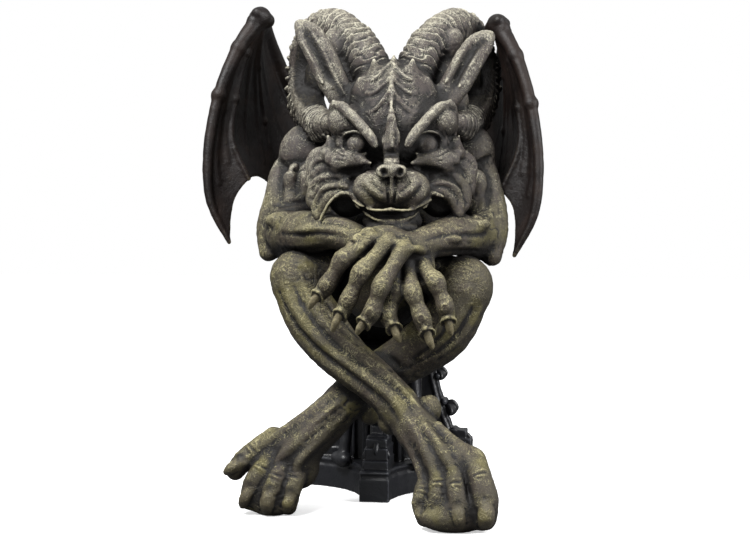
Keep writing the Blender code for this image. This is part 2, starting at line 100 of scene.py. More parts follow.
def smooth_line(stations, steps=4):
    """A Catmull-Rom curve through rows of numbers: a place first, and any widths after it."""
    rows = np.array(stations, dtype=np.float64)
    padded = np.vstack([rows[:1], rows, rows[-1:]])
    line = []
    for i in range(len(rows) - 1):
        a, b, c, d = padded[i : i + 4]
        for k in range(steps):
            t = k / steps
            bend = (2 * a - 5 * b + 4 * c - d) * t * t + (3 * b - a - 3 * c + d) * t**3
            line.append(0.5 * (2 * b + (c - a) * t + bend))
    line.append(rows[-1])
    return np.array(line)


def egg_distance(points, place, sizes, tilt):
    """Distance to an egg with three half sizes, tilted by degrees about X, Y and Z."""
    turn = np.array(Euler([math.radians(a) for a in tilt]).to_matrix())
    away = [points[i] - float(place[i]) for i in range(3)]
    own = [sum(float(turn[j][i]) * away[j] for j in range(3)) for i in range(3)]
    near = np.sqrt(sum((o / s) ** 2 for o, s in zip(own, sizes)))
    slope = np.sqrt(sum((o / s**2) ** 2 for o, s in zip(own, sizes)))
    return near * (near - 1) / np.maximum(slope, 1e-6)


def segments(points, line, reach):
    """The part of the block near each stretch of a line, with the share along it and the way off it."""
    axes = [points[i].ravel() for i in range(3)]
    for k in range(len(line) - 1):
        start, span = line[k][:3], line[k + 1][:3] - line[k][:3]
        low = np.minimum(start, start + span) - reach
        high = np.maximum(start, start + span) + reach
        box = tuple(slice(*np.searchsorted(axes[i], (low[i], high[i]))) for i in range(3))
        if any(side.stop <= side.start for side in box):
            continue
        away = [axes[i][box[i]].reshape([-1 if j == i else 1 for j in range(3)]) - float(start[i])
            for i in range(3)]
        along = sum(a * float(s) for a, s in zip(away, span)) / max(float(span @ span), 1e-9)
        share = np.clip(along, 0.0, 1.0)
        yield k, box, share, [a - share * float(s) for a, s in zip(away, span)]


def near_line(points, line, reach):
    """For every point, the distance to a line's tapered skin, and how far along the line that is."""
    shape = tuple(points[i].size for i in range(3))
    best = np.full(shape, FAR, dtype=np.float32)
    travel = np.zeros(shape, dtype=np.float32)
    lengths = np.linalg.norm(np.diff(line[:, :3], axis=0), axis=1)
    starts = np.concatenate([[0.0], np.cumsum(lengths)])
    for k, box, share, off in segments(points, line, reach):
        thick = float(line[k][3]) + share * float(line[k + 1][3] - line[k][3])
        distance = np.sqrt(sum(o * o for o in off)) - thick
        closer = distance < best[box]
        best[box] = np.where(closer, distance, best[box])
        travel[box] = np.where(closer, float(starts[k]) + share * float(lengths[k]), travel[box])
    return best, travel, starts


# %% The block of clay
class Clay:
    """A block of space that holds, at every point, the distance to the clay's skin; below 0 is inside."""

    def __init__(self, lowest, highest, grain):
        self.grain = grain
        self.lowest = np.array(lowest, dtype=np.float64)
        self.shape = tuple(int(n) + 2 for n in (np.array(highest) - self.lowest) / grain)
        self.field = np.full(self.shape, FAR, dtype=np.float32)
        self.claws = []
        self.shades = []

    def window(self, lowest, highest):
        """The part of the block between two corners, and the coordinates of its points."""
        first = np.floor((np.asarray(lowest) - self.lowest) / self.grain).astype(int).clip(0, self.shape)
        past = np.ceil((np.asarray(highest) - self.lowest) / self.grain).astype(int) + 1
        last = past.clip(0, self.shape)
        if np.any(last <= first):
            return None, None
        part = tuple(slice(a, b) for a, b in zip(first, last))
        axes = [(self.lowest[i] + self.grain * np.arange(first[i], last[i])).astype(np.float32)
            for i in range(3)]
        return part, (axes[0][:, None, None], axes[1][None, :, None], axes[2][None, None, :])

    def join(self, part, distance, blend):
        """Adds a shape, with a fillet."""
        now = self.field[part]
        near = np.maximum(blend - np.abs(now - distance), 0.0) / blend
        self.field[part] = np.minimum(now, distance) - near * near * (blend * 0.25)

    def carve(self, part, distance, blend):
        """Takes a shape away, with a rounded lip."""
        now = self.field[part]
        near = np.maximum(blend - np.abs(now + distance), 0.0) / blend
        self.field[part] = np.maximum(now, -distance) + near * near * (blend * 0.25)

    def lump(self, place, sizes, tilt=(0, 0, 0), blend=5.0):
        """An egg of clay."""
        reach = max(sizes) + blend + 2 * self.grain
        part, points = self.window(np.array(place) - reach, np.array(place) + reach)
        if part is not None:
            self.join(part, egg_distance(points, place, sizes, tilt), blend)

    def hollow(self, place, sizes, tilt=(0, 0, 0), blend=1.5):
        """An egg-shaped hollow."""
        reach = max(sizes) + blend + 2 * self.grain
        part, points = self.window(np.array(place) - reach, np.array(place) + reach)
        if part is not None:
            self.carve(part, egg_distance(points, place, sizes, tilt), blend)

    def roll(self, stations, blend=3.0, relief=None, steps=4):
        """A rolled limb through (x, y, z, radius) stations, with relief worked out along it."""
        line = smooth_line(stations, steps)
        reach = float(line[:, 3].max()) + blend + 3 * self.grain + (3.0 if relief else 0.0)
        part, points = self.window(line[:, :3].min(0) - reach, line[:, :3].max(0) + reach)
        if part is None:
            return
        distance, travel, starts = near_line(points, line, reach)
        if relief is not None:
            middle = [np.interp(travel, starts, line[:, i]).astype(np.float32) for i in range(3)]
            distance -= relief(travel, points, middle, float(starts[-1]))
        self.join(part, distance, blend)

    def leaf(self, stations, blend=1.2, cup=0.0, steps=4):
        """A flat leaf through rows of a place, half width, half thickness and normal; cup bends its edges."""
        line = smooth_line(stations, steps)
        reach = float(line[:, 3].max()) + blend + 3 * self.grain
        part, points = self.window(line[:, :3].min(0) - reach, line[:, :3].max(0) + reach)
        if part is None:
            return
        best = np.full(tuple(p.size for p in points), FAR, dtype=np.float32)
        for k, box, share, off in segments(points, line, reach):
            width = float(line[k][3]) + share * float(line[k + 1][3] - line[k][3])
            thick = float(line[k][4]) + share * float(line[k + 1][4] - line[k][4])
            way = line[k + 1][:3] - line[k][:3]
            normal = line[k][5:8] / np.linalg.norm(line[k][5:8])
            across = np.cross(way, normal)
            across /= np.linalg.norm(across)
            side = sum(o * float(c) for o, c in zip(off, across))
            lift = sum(o * float(n) for o, n in zip(off, normal)) - cup * side * side / width
            flat = sum(o * o for o in off) - sum(o * float(n) for o, n in zip(off, normal)) ** 2
            near = np.sqrt(np.maximum(flat, 0.0) / width**2 + (lift / thick) ** 2)
            slope = np.sqrt(np.maximum(flat, 0.0) / width**4 + lift**2 / thick**4)
            distance = near * (near - 1) / np.maximum(slope, 1e-6)
            best[box] = np.minimum(best[box], distance)
        self.join(part, best, blend)

    def stroke(self, places, width, height, steps=4):
        """A raised line, or with a height below 0 a groove, that fades at both ends."""
        places = [place for place in places if place is not None]
        if len(places) < 2:
            return
        line = smooth_line([(*place, 0.0) for place in places], steps)
        part, points = self.window(line[:, :3].min(0) - 3 * width, line[:, :3].max(0) + 3 * width)
        if part is None:
            return
        distance, travel, starts = near_line(points, line, 3 * width)
        fade = 1 - np.abs(2 * travel / float(starts[-1]) - 1) ** 4
        self.field[part] -= (height * fade * np.exp(-((distance / width) ** 2))).astype(np.float32)

    def skin(self, start, way, reach=260.0):
        """The first place on the skin that a needle pushed from start meets, or None."""
        steps = np.arange(0.0, reach, self.grain / 2)
        path = np.array(start, dtype=np.float64) + steps[:, None] * np.array(way, dtype=np.float64)
        spots = np.round((path - self.lowest) / self.grain).astype(int)
        inside = np.all((spots >= 0) & (spots < self.shape), axis=1)
        found = np.full(len(steps), FAR)
        found[inside] = self.field[tuple(spots[inside].T)]
        hit = int(np.argmax(found < 0))
        return tuple(path[hit]) if found[hit] < 0 else None

    def draw(self, places, width, height, way=(0.0, 1.0, 0.0)):
        """A stroke through (x, z) places, drawn along way on the skin that it meets first."""
        far = np.array(way) * -230.0
        starts = [(x + far[0], far[1] - 40.0, z + far[2]) for x, z in places]
        self.stroke([self.skin(start, way) for start in starts], width, height)

    def claw(self, stations, blend=0.8):
        """A claw, whose place is kept so that it can be painted as one."""
        self.roll(stations, blend=blend)
        self.claws.append(smooth_line(stations, 3))

    def shade(self, stations):
        """A place that is painted dark as shade, and no clay."""
        self.shades.append(smooth_line(stations, 3))


print("the clay tools are ready")

# %% [markdown]
# ## From clay to a casting
#
# A block of distances isn't a mesh yet. OpenVDB, which comes with Blender, wraps the zero distance in
# faces. The result is even and far too heavy, so Decimate thins it, and keeps the small faces where the
# surface bends.
#
# Skin needs a wrinkled surface before it is cast. The wrinkles are the contour lines of a slow random
# field, much as the lines on a map wind round a hill, and they are pressed only into a thin shell near the
# skin.
#
# While the block is at hand, it also answers two questions that the paint will ask. How sharp is the form
# here, and how deep in a hollow does it lie, where the dark wash gathers and shade is painted? Both are
# counts of how much clay there is near a point.

# %% Random fields with a fixed seed
TABLE = np.random.default_rng(7).uniform(-1.0, 1.0, (32, 32, 32)).astype(np.float32)


def noise(places, size, shift=0.0):
    """Smooth random numbers from -1 to 1 that change over about one size."""
    cells = places / np.asarray(size, dtype=np.float64) + shift
    base = np.floor(cells).astype(np.int64)
    share = (cells - base).astype(np.float32)
    share = share * share * (3 - 2 * share)
    total = np.zeros(len(cells), dtype=np.float32)
    for corner in range(8):
        step = [(corner >> i) & 1 for i in range(3)]
        spots = tuple((base[:, i] + step[i]) & 31 for i in range(3))
        weight = np.prod([share[:, i] if step[i] else 1 - share[:, i] for i in range(3)], axis=0)
        total += TABLE[spots] * weight
    return total


def wrinkles(places, size, lines):
    """Winding lines, from -1 in the furrows to 1 on the folds."""
    slow = noise(places, size) + 0.35 * noise(places, size * 0.4, 5.3)
    return np.cos(math.pi * lines * slow)


print("the table holds", TABLE.size, "random numbers")

# %% Blur a block of numbers
def blur(block, reach, times=2):
    """The mean over a cube that reaches this many points each way, taken a few times."""
    wide = 2 * reach + 1
    for _ in range(times):
        for axis in range(3):
            spread = [(reach + 1, reach) if i == axis else (0, 0) for i in range(3)]
            sums = np.cumsum(np.pad(block, spread, mode="edge"), axis=axis, dtype=np.float32)
            ahead = tuple(slice(wide, None) if i == axis else slice(None) for i in range(3))
            behind = tuple(slice(None, -wide) if i == axis else slice(None) for i in range(3))
            block = (sums[ahead] - sums[behind]) / wide
    return block


def sample(block, lowest, grain, places):
    """Values of a block at any places, between its points."""
    cells = np.clip((places - lowest) / grain, 0, np.array(block.shape) - 1.001)
    base = cells.astype(np.int64)
    share = cells - base
    total = np.zeros(len(places))
    for corner in range(8):
        step = [(corner >> i) & 1 for i in range(3)]
        spots = tuple(base[:, i] + step[i] for i in range(3))
        weight = np.prod([share[:, i] if step[i] else 1 - share[:, i] for i in range(3)], axis=0)
        total += block[spots] * weight
    return total


# %% Wrap, thin and measure the clay
COARSE = 1.6
COARSE_LOW = np.array([-130.0, -175.0, -10.0])
COARSE_SHAPE = (165, 160, 220)
solid_nearby = np.zeros(COARSE_SHAPE, dtype=np.float32)


def share_nearby(clay):
    """Adds the clay to the coarse block that says where anything solid is."""
    spots = np.indices(COARSE_SHAPE).reshape(3, -1).T
    places = COARSE_LOW + COARSE * spots
    cells = np.round((places - clay.lowest) / clay.grain).astype(np.int64)
    inside = np.all((cells >= 0) & (cells < np.array(clay.shape)), axis=1)
    depth = clay.field[tuple(cells[inside].T)]
    filled = np.clip(0.5 - depth / COARSE, 0, 1)
    flat = solid_nearby.reshape(-1)
    flat[inside] = np.maximum(flat[inside], filled)


EVERYWHERE = 200.0


def saw_off(clay, height, above=False, front=-EVERYWHERE, margin=4.0):
    """Cuts the clay flat at a height, and takes away what is below it, or above it."""
    low, high = (height - margin, EVERYWHERE) if above else (-EVERYWHERE, height + margin)
    part, points = clay.window((-EVERYWHERE, front, low), (EVERYWHERE, EVERYWHERE, high))
    beyond = points[2] - height if above else height - points[2]
    clay.field[part] = np.maximum(clay.field[part], beyond)


def weather(clay, relief, reach=2.5):
    """Presses a relief, worked out for each place, into the shell of clay near the skin."""
    shell = np.nonzero(np.abs(clay.field) < reach)
    places = clay.lowest + clay.grain * np.stack(shell, axis=1)
    clay.field[shell] -= relief(places).astype(np.float32)


def whole_shell(count, faces):
    """Which points belong to the largest connected shell."""
    label = np.arange(count)
    links = np.concatenate([faces[:, [i, (i + 1) % faces.shape[1]]] for i in range(faces.shape[1])])
    while True:
        low = np.minimum(label[links[:, 0]], label[links[:, 1]])
        fresh = label.copy()
        np.minimum.at(fresh, links[:, 0], low)
        np.minimum.at(fresh, links[:, 1], low)
        fresh = fresh[fresh]
        if np.array_equal(fresh, label):
            return label == np.argmax(np.bincount(label))
        label = fresh


def fill_mesh(mesh, points, faces):
    """Puts points and faces with one number of corners into an empty mesh."""
    corners = faces.shape[1]
    mesh.vertices.add(len(points))
    mesh.vertices.foreach_set("co", np.asarray(points, dtype=np.float32).ravel())
    mesh.loops.add(faces.size)
    mesh.loops.foreach_set("vertex_index", faces.astype(np.int32).ravel())
    mesh.polygons.add(len(faces))
    mesh.polygons.foreach_set("loop_start", np.arange(0, faces.size, corners, dtype=np.int32))
    mesh.update(calc_edges=True)


def link(name, mesh):
    made = bpy.data.objects.new(name, mesh)
    bpy.context.scene.collection.objects.link(made)
    return made


def evaluated_mesh(source):
    bpy.context.view_layer.update()
    graph = bpy.context.evaluated_depsgraph_get()
    return bpy.data.meshes.new_from_object(source.evaluated_get(graph))


def read_points(mesh):
    places = np.empty(len(mesh.vertices) * 3, dtype=np.float32)
    mesh.vertices.foreach_get("co", places)
    return places.reshape(-1, 3).astype(np.float64)


def read_normals(mesh):
    ways = np.empty(len(mesh.vertices) * 3, dtype=np.float32)
    mesh.vertices.foreach_get("normal", ways)
    return ways.reshape(-1, 3).astype(np.float64)


def put_numbers(mesh, name, values):
    layer = mesh.attributes.new(name, "FLOAT", "POINT")
    layer.data.foreach_set("value", np.asarray(values, dtype=np.float32))


def cast(clay, name, triangles):
    """Turns a block of clay into a closed mesh on the sculptor's grid, thinned to a number of triangles."""
    shell = 3 * clay.grain
    grid = openvdb.FloatGrid(shell)
    grid.copyFromArray(np.clip(clay.field, -shell, shell))
    points, _, quads = grid.convertToPolygons(isovalue=0.0, adaptivity=0.0)
    keep = whole_shell(len(points), quads.astype(np.int64))
    number = np.cumsum(keep) - 1
    quads = number[quads[keep[quads[:, 0]]].astype(np.int64)]
    points = clay.lowest + clay.grain * points[keep]
    heavy = bpy.data.meshes.new(name)
    fill_mesh(heavy, points, quads)
    made = link(name, heavy)
    thin = made.modifiers.new("Thin", "DECIMATE")
    thin.ratio = min(1.0, triangles / (2 * len(quads)))
    light = evaluated_mesh(made)
    bpy.data.objects.remove(made)
    light.name = name
    light.shade_smooth()
    print(f"{name}: {2 * len(quads)} triangles wrapped, {len(light.polygons)} kept")
    return link(name, light)


def measure(clay, made):
    """Gives every point of a casting how sharp it is, and how much solid stands round it."""
    places = read_points(made.data)
    near = blur(np.clip(0.5 - clay.field / (2 * clay.grain), 0, 1), 1, 3)
    sharp = 0.5 - sample(near, clay.lowest, clay.grain, places)
    put_numbers(made.data, "edge", sharp)


def paint_near(made, name, lines, reach):
    """Marks the points that lie on lines such as claws or painted shade, fading out over a short reach."""
    places = read_points(made.data)
    mark = np.zeros(len(places))
    for line in lines:
        low, high = line[:, :3].min(0) - 12, line[:, :3].max(0) + 12
        close = np.nonzero(np.all((places > low) & (places < high), axis=1))[0]
        for start, end in zip(line, line[1:]):
            span = end[:3] - start[:3]
            share = np.clip((places[close] - start[:3]) @ span / max(span @ span, 1e-9), 0, 1)
            off = np.linalg.norm(places[close] - start[:3] - share[:, None] * span, axis=1)
            thick = start[3] + share * (end[3] - start[3])
            mark[close] = np.maximum(mark[close], np.clip(1 - (off - thick) / reach, 0, 1))
    put_numbers(made.data, name, mark)


def bring_to_size(made):
    """Moves a casting from the sculptor's grid to metres."""
    places = to_metres(read_points(made.data))
    made.data.vertices.foreach_set("co", places.astype(np.float32).ravel())
    made.data.update()


FINENESS = 1.0
print("the casting tools are ready")

# %% [markdown]
# ## The head
#
# The face looks a little to its left, so it has its own small grid: x is measured out from the middle of
# the face on either side, y goes back from the nose, and z is the height. One set of numbers then gives
# both halves.
#
# The order is a sculptor's: the skull and jaw first, then the brows, cheeks, nose and lips as rolls of
# clay, then hollows for the sockets and mouth, and drawn wrinkles last.

# %% The head's own grid
HEAD_CENTRE = (14.0, -72.0)
HEAD_YAW = math.radians(8.5)
FACE_SHIFT = 2.2


def face(side, x, y, z):
    """A place on the head's grid, on side -1 or +1, as a place on the sculptor's grid."""
    forward_share = min(max((-88 - y) / 25, 0.0), 1.0)
    across = side * x - FACE_SHIFT * forward_share
    deep = y - HEAD_CENTRE[1]
    return (
        HEAD_CENTRE[0] + across * math.cos(HEAD_YAW) - deep * math.sin(HEAD_YAW),
        HEAD_CENTRE[1] + across * math.sin(HEAD_YAW) + deep * math.cos(HEAD_YAW),
        z,
    )


def face_line(side, stations):
    """Rows of (x, y, z, and widths) on the head's grid, moved to the sculptor's grid."""
    return [(*face(side, *row[:3]), *row[3:]) for row in stations]


def between(first, last, share, bend=(0, 0, 0)):
    return tuple(a + (b - a) * share + shift for a, b, shift in zip(first, last, bend))


INTO_FACE = (-math.sin(HEAD_YAW), math.cos(HEAD_YAW), 0.0)


def crease(clay, side, places, width, height):
    """A stroke on the face through (x, z) places, drawn from the front."""
    starts = [face(side, x, -230, z) for x, z in places]
    clay.stroke([clay.skin(start, INTO_FACE) for start in starts], width, height)


print(f"the face is turned {math.degrees(HEAD_YAW):.1f} degrees")

# %% [markdown]
# ### Skull, crest and neck
#
# Under the face lies a plain skull of a few eggs with wide fillets. The crest is a blade of skin with
# spikes, so it is one roll along the middle of the face with six short cones on it, and two thin leaves of
# clay lie over the bridge of the nose and the forehead.

# %% Skull, crest and neck
FROM_FACE = tuple(-a for a in INTO_FACE)
FOREHEAD_PLATES = [
    [(face(1, 0, y, z), sizes) for y, z, sizes in rows]
    for rows in (
        ((-120.5, 258.5, (0.8, 1.2)), (-121.2, 250, (2.6, 2.2)), (-121.6, 243, (4.2, 2.6)),
            (-121.6, 236, (5.0, 2.2))),
        ((-111.6, 273, (0.8, 1.2)), (-112.6, 267, (4.0, 1.8)), (-113.4, 261, (7.2, 1.8)),
            (-113.6, 256.5, (8.6, 0.8))),
    )
]


def skull(clay):
    clay.lump(face(1, 0, -74, 254), (35, 34, 31), blend=6)
    clay.lump(face(1, 0, -92, 246), (33, 24, 24), blend=6)
    clay.lump(face(1, 0, -84, 271), (27, 26, 20), (20, 0, 8), blend=6)
    clay.lump(face(1, 0, -103, 256), (19, 12, 17), (-14, 0, 0), blend=6)
    for side in (-1, 1):
        clay.lump(face(side, 31, -64, 280), (10, 9, 15), (0, 14 * side, 0), blend=5)
        clay.lump(face(side, 35, -58, 302), (9, 8, 16), (0, 30 * side, 0), blend=4)
    clay.lump(face(1, 41, -60, 268), (9, 8, 11), blend=4)
    clay.roll([(11, -52, 250, 22), (9, -36, 248, 22.5), (8, -28, 247, 21)], blend=6)
    blade = [(0, -124.5, 236, 1.4), (0, -124, 243, 1.2), (0, -122.5, 250, 1.1), (0, -120.5, 257, 1.0),
             (0, -116, 265, 1.2), (0, -112, 273, 1.5), (0, -102, 281, 2.0), (0, -92, 287, 2.8),
             (0, -76, 290, 3.6), (0, -58, 287, 4), (0, -44, 276, 5)]
    clay.roll(face_line(1, blade), blend=2)
    for plate in FOREHEAD_PLATES:
        clay.leaf([(*place, wide, thick, *FROM_FACE) for place, (wide, thick) in plate], blend=2.2)
    clay.shade(face_line(1, [(-5, -123, 230, 3.0), (0, -124, 230.5, 3.2), (5, -123, 230, 3.0)]))
    for y, z, size in ((-119.5, 252, 2.0), (-111, 269, 2.6), (-103, 279, 3.2), (-92, 289, 3.6),
        (-72, 292, 3.2), (-57, 288, 3.0)):
        spike = [(0, y + 2, z - 3, size * 1.2), (0, y, z + 1, size * 0.8), (0, y - 1.6, z + 5, 0.7)]
        clay.roll(face_line(1, spike), blend=2.5)


# %% [markdown]
# ### Brows and eyes
#
# The scowl comes from two ridges that run down to the nose, with the eyeballs set deep under them. A ridge
# is one roll whose width changes on its way. The eyeball is an egg that is joined almost without a fillet,
# so a sharp line stays round it. A lid is a thin roll over its edge. A `shade` adds no clay: it marks a
# place where dark shade is painted, such as round the eye, so that the eyes look deep.

# %% Brows, sockets and eyes
def brows(clay, side):
    clay.lump(face(side, 29, -102, 252), (12.5, 11.5, 11), blend=5)
    for place, rise in (((20.5, -88), 269), ((11, -90), 281)):
        peak = [(*place, rise, 5.0), (place[0] + 1, place[1] - 4, rise + 6, 3.2),
            (place[0] + 1.4, place[1] - 6, rise + 11, 1.0)]
        clay.roll(face_line(side, peak), blend=4)
    clay.lump(face(side, 28, -103, 226), (13, 12, 10), blend=5)
    clay.lump(face(side, 37, -93, 234), (8, 8, 9), blend=4)
    clay.hollow(face(side, 14.5, -120, 234), (9, 7.5, 6), (0, 12 * side, 0), blend=2.5)
    ridge = [(38, -90, 243, 2.0), (39.5, -95.5, 253, 2.6), (37.5, -102, 262, 3.0), (32, -108.5, 262, 3.2),
        (26, -114.4, 256.5, 3.3), (19, -120.4, 249, 3.3), (13, -125.2, 241.5, 3.2), (10.5, -126, 237, 2.4)]
    clay.roll(face_line(side, ridge), blend=2.2)
    clay.lump(face(side, 31.5, -102.5, 239), (5, 6, 7), blend=2)
    clay.lump(face(side, 22.4, -108.6, 237.4), (6.4, 6.5, 6.5), blend=0.5)
    upper = [(32.6, -105, 240.5, 0.9), (29, -111.2, 244.2, 0.9), (23.4, -115, 245.4, 0.9),
        (17.8, -117, 243.5, 0.8)]
    lower = [(32.6, -105.5, 239, 0.8), (30.2, -110.4, 233.6, 0.9), (25, -114.2, 230.4, 0.9),
        (20, -115, 230.0, 0.8), (16, -113.5, 231.6, 0.6)]
    for lid in (upper, lower):
        clay.roll(face_line(side, lid), blend=1.2)
    round_the_eye = [(28.4, -111, 243, 0.1), (23.4, -115.5, 244.2, 0.2), (16.6, -117, 241, 1.2),
                     (15.0, -117, 236, 1.6), (17, -116, 231.8, 0.7), (24, -115, 230.8, 0.1)]
    clay.shade(face_line(side, round_the_eye))
    cheek_bone = [(38, -101.5, 227.5, 4.2), (31, -107, 228.4, 4.0), (24, -112, 228.2, 3.6),
                  (18, -115.5, 226.8, 2.6), (13.5, -117.5, 225.4, 1.2)]
    clay.roll(face_line(side, cheek_bone), blend=4)
    clay.hollow(face(side, 27, -114.5, 219.8), (10, 5.5, 3.2), (0, 6 * side, 0), blend=1.8)
    clay.shade(face_line(side, [(6, -123, 230, 3.4), (12, -118, 232, 3.4), (15.5, -116, 234.5, 1.8)]))
    clay.shade(face_line(side, [(18, -114, 220.8, 1.2), (27, -110, 220.4, 1.8), (34, -107, 221, 1.2)]))


# %% [markdown]
# ### Nose, lips and chin
#
# The muzzle is an ape's, with an upper lip that swells on both sides of a fold. The clay goes on first,
# then the mouth and the nostrils are pressed in, and the thin rims of the lips come last, along the edge of
# the hollow. A rim of real clay catches the light and the dry brush, and a painted line wouldn't.

# %% Nose, lips and chin
def muzzle(clay):
    clay.roll(face_line(1, [(0, -115, 238, 6), (0, -120, 231, 4.6), (0, -127, 224, 5)]), blend=5)
    clay.lump(face(1, 0, -106, 208), (25, 20, 17), blend=6)
    clay.lump(face(1, 0, -104, 189), (19, 18, 9), blend=6)
    clay.lump(face(1, 0, -118, 184.5), (17, 9.5, 6.2), blend=4)
    clay.lump(face(1, 0, -120.5, 208), (22, 12, 10.6), blend=4)
    clay.hollow(face(1, 0, -130, 231.5), (8.5, 7, 3.0), blend=2.5)
    for side in (-1, 1):
        clay.lump(face(side, 11.5, -119.5, 209), (12.5, 12, 10.8), (0, -24 * side, 0), blend=5)
        clay.lump(face(side, 5.0, -133.4, 219.8), (4.6, 4.2, 4.2), (0, 14 * side, 0), blend=2)
    clay.lump(face(1, 0, -133.2, 221.4), (8.0, 4.4, 2.8), blend=2)
    fold_under_nose = [(0, -136.4, 219.6, 1.2), (0, -135.0, 216, 1.1), (0, -132.6, 211, 0.8),
        (0, -131.6, 205, 0.5)]
    clay.roll(face_line(1, fold_under_nose), blend=2.0)
    clay.hollow(face(1, 0, -130.5, 192.6), (16.5, 12, 3.4), blend=0.8)
    in_the_mouth = [(-17, -117, 195.2, 1.8), (-8, -121, 193.4, 3.0), (0, -121.5, 193.0, 3.4),
                    (8, -121, 193.4, 3.0), (17, -117, 195.2, 1.8)]
    clay.shade(face_line(1, in_the_mouth))
    for side in (-1, 1):
        clay.hollow(face(side, 5.0, -139, 219.2), (2.3, 5.0, 2.9), (0, 22 * side, 0), blend=1.8)
        clay.shade(face_line(side, [(5.0, -136.5, 219.8, 1.0), (4.8, -135, 218.6, 1.0)]))
        upper_lip = [(0, -130.6, 196.4, 0.8), (7, -130, 196.0, 0.8), (13, -127.6, 196.4, 0.8),
                     (19, -123, 199.0, 0.7), (24, -118, 202.0, 0.7), (28, -114.8, 204.0, 0.7)]
        lower_lip = [(0, -125.8, 188.6, 0.8), (8, -124.8, 189.6, 0.8), (13.5, -122, 192.0, 0.8),
                     (18, -118.6, 195.6, 0.7), (22.5, -115.6, 199.0, 0.7)]
        clay.roll(face_line(side, upper_lip), blend=3.2)
        clay.roll(face_line(side, lower_lip), blend=3.0)
        clay.lump(face(side, 26.4, -113.6, 199.6), (4.6, 4, 3.3), (0, -14 * side, 0), blend=1.6)
        clay.hollow(face(side, 26.4, -118.4, 199.4), (2.9, 2.8, 1.5), (0, -14 * side, 0), blend=0.8)
        clay.shade(face_line(side, [(25, -115.5, 199, 0.4), (27.5, -114.5, 199.8, 0.4)]))
        crease(clay, side, [(13, 194.4), (19, 197.0), (24, 200.8)], 0.9, -1.8)


# %% [markdown]
# ### Cheeks like oak leaves
#
# Flaps of skin hang from the cheeks in locks. Each rim is a roll, and a thin leaf of clay fills the way up
# to the next rim, so the flap gets an edge that stands off the face. A carver never makes two cheeks alike,
# so each side has rims of its own.

# %% The leafy jowls
JOWL_RIMS = {
    -1: [
        [(23, -116, 203.5, 1.7), (30.5, -115, 206.8, 1.9), (38, -112, 201.4, 1.9), (43.5, -109, 193.5, 1.7),
            (45.5, -109, 189.5, 1.1)],
        [(28, -112, 210.5, 1.7), (37, -109, 211.2, 1.9), (45, -105, 208.5, 1.9), (50.5, -102, 198, 1.7),
            (48.5, -104, 193, 1.2)],
        [(33, -108, 217.5, 1.7), (41, -103, 217.2, 1.9), (49, -98, 215.2, 1.8), (54, -95, 208.5, 1.4),
            (52, -97, 205, 1.0)],
        [(38, -101, 225.5, 1.8), (44, -97, 228.2, 1.9), (50, -93, 227.4, 1.7), (53, -92, 222, 1.4),
            (50.5, -94, 217.5, 1.0)],
    ],
    1: [
        [(23, -116, 205.0, 1.7), (28, -115.5, 206.4, 1.9), (34, -113, 202, 1.9), (38.5, -111, 195.6, 1.7),
            (42, -110, 191, 1.1)],
        [(27, -112, 212.5, 1.6), (35, -110, 213.0, 1.7), (42, -107, 208.5, 1.7), (44.5, -105, 201, 1.6),
            (43, -106, 194.5, 1.2)],
        [(31, -108, 219.0, 1.8), (39, -104, 218.6, 1.8), (46, -99, 212, 1.8), (47.5, -98, 203, 1.6),
            (45, -100, 197, 1.0)],
        [(38, -100, 226.5, 1.6), (44, -96, 226.5, 1.6), (48.5, -93, 223, 1.4), (49.5, -93, 217.5, 1.2),
            (47.5, -95, 214.5, 0.9)],
    ],
}


def jowls(clay, side):
    clay.lump(face(side, 30, -96, 206), (13, 12, 15), (0, 14 * side, 0), blend=5)
    normal = np.array(face(side, 0.45, -0.85, 0.1)) - np.array(face(side, 0, 0, 0))
    rims = JOWL_RIMS[side]
    for rim, above in zip(rims, rims[1:] + [[(*row[:2], row[2] + 6, 1) for row in rims[-1]]]):
        pad = [between(low[:3], high[:3], 0.5, (0, 3.4, 0)) for low, high in zip(rim, above)]
        widths = (4.4, 5.4, 5.6, 4.8, 3.0)
        clay.leaf([(*place, wide, 3.2, *normal) for place, wide in zip(face_line(side, pad), widths)],
            blend=3.0)
    for rim in rims:
        clay.roll(face_line(side, [(*row[:3], row[3] * 0.72) for row in rim]), blend=2.2)
        under = [(x - 1.6, z - 2.6) for x, _, z, _ in rim[:4]]
        crease(clay, side, under, 1.4, -1.3)
    clay.hollow(face(side, 31.5, -113, 196), (9.5, 8.5, 7.5), (0, 28 * side, 0), blend=1.6)
    clay.shade(face_line(side, [(26, -104, 196, 4), (33, -103, 197, 4.5), (38, -103, 192, 4)]))
    for x, y, z in ((35.5, -108, 226), (39.5, -103.5, 228.5), (42, -99.5, 232.5)):
        clay.lump(face(side, x, y, z), (3.2, 3.0, 3.2), blend=2.4)
    clay.roll(face_line(side, [(34, -103, 231, 3.6), (40, -99, 231.6, 2.4), (44.5, -97, 231, 1.0)]), blend=3)
    clay.roll(face_line(side, [(37, -96, 237, 2.8), (40.5, -95, 240, 1.9), (42, -95, 243.5, 0.9)]),
        blend=2.5)


print("rims of skin on each cheek:", {side: len(rims) for side, rims in JOWL_RIMS.items()})

# %% [markdown]
# ### Horns
#
# A ram's horn is a coil of overlapping plates. Rings in an array would look like a hose. Here the coil is
# one roll, and a relief that is worked out from the distance along it rises slowly and falls steeply, as a
# plate does. Slow waves keep the plates from being perfect rings.

# %% Horns like a ram's
HORN = [
    (12, -74, 278, 12.2), (18, -66, 295, 12.8), (29, -50, 311, 12.2), (43, -33, 318.5, 11.8),
    (55, -18, 312, 11.8),
    (60.5, -10, 296, 12.0), (60.5, -15, 277, 11.6), (55.5, -33, 262, 10.8), (50, -52, 254, 9.6),
    (44.5, -72, 252, 8.4),
    (39, -84, 252, 5.4),
]
HORN_EYE = (40.0, -42.0, 284.0)
HORN_PLATES = (5.6, 4.8)


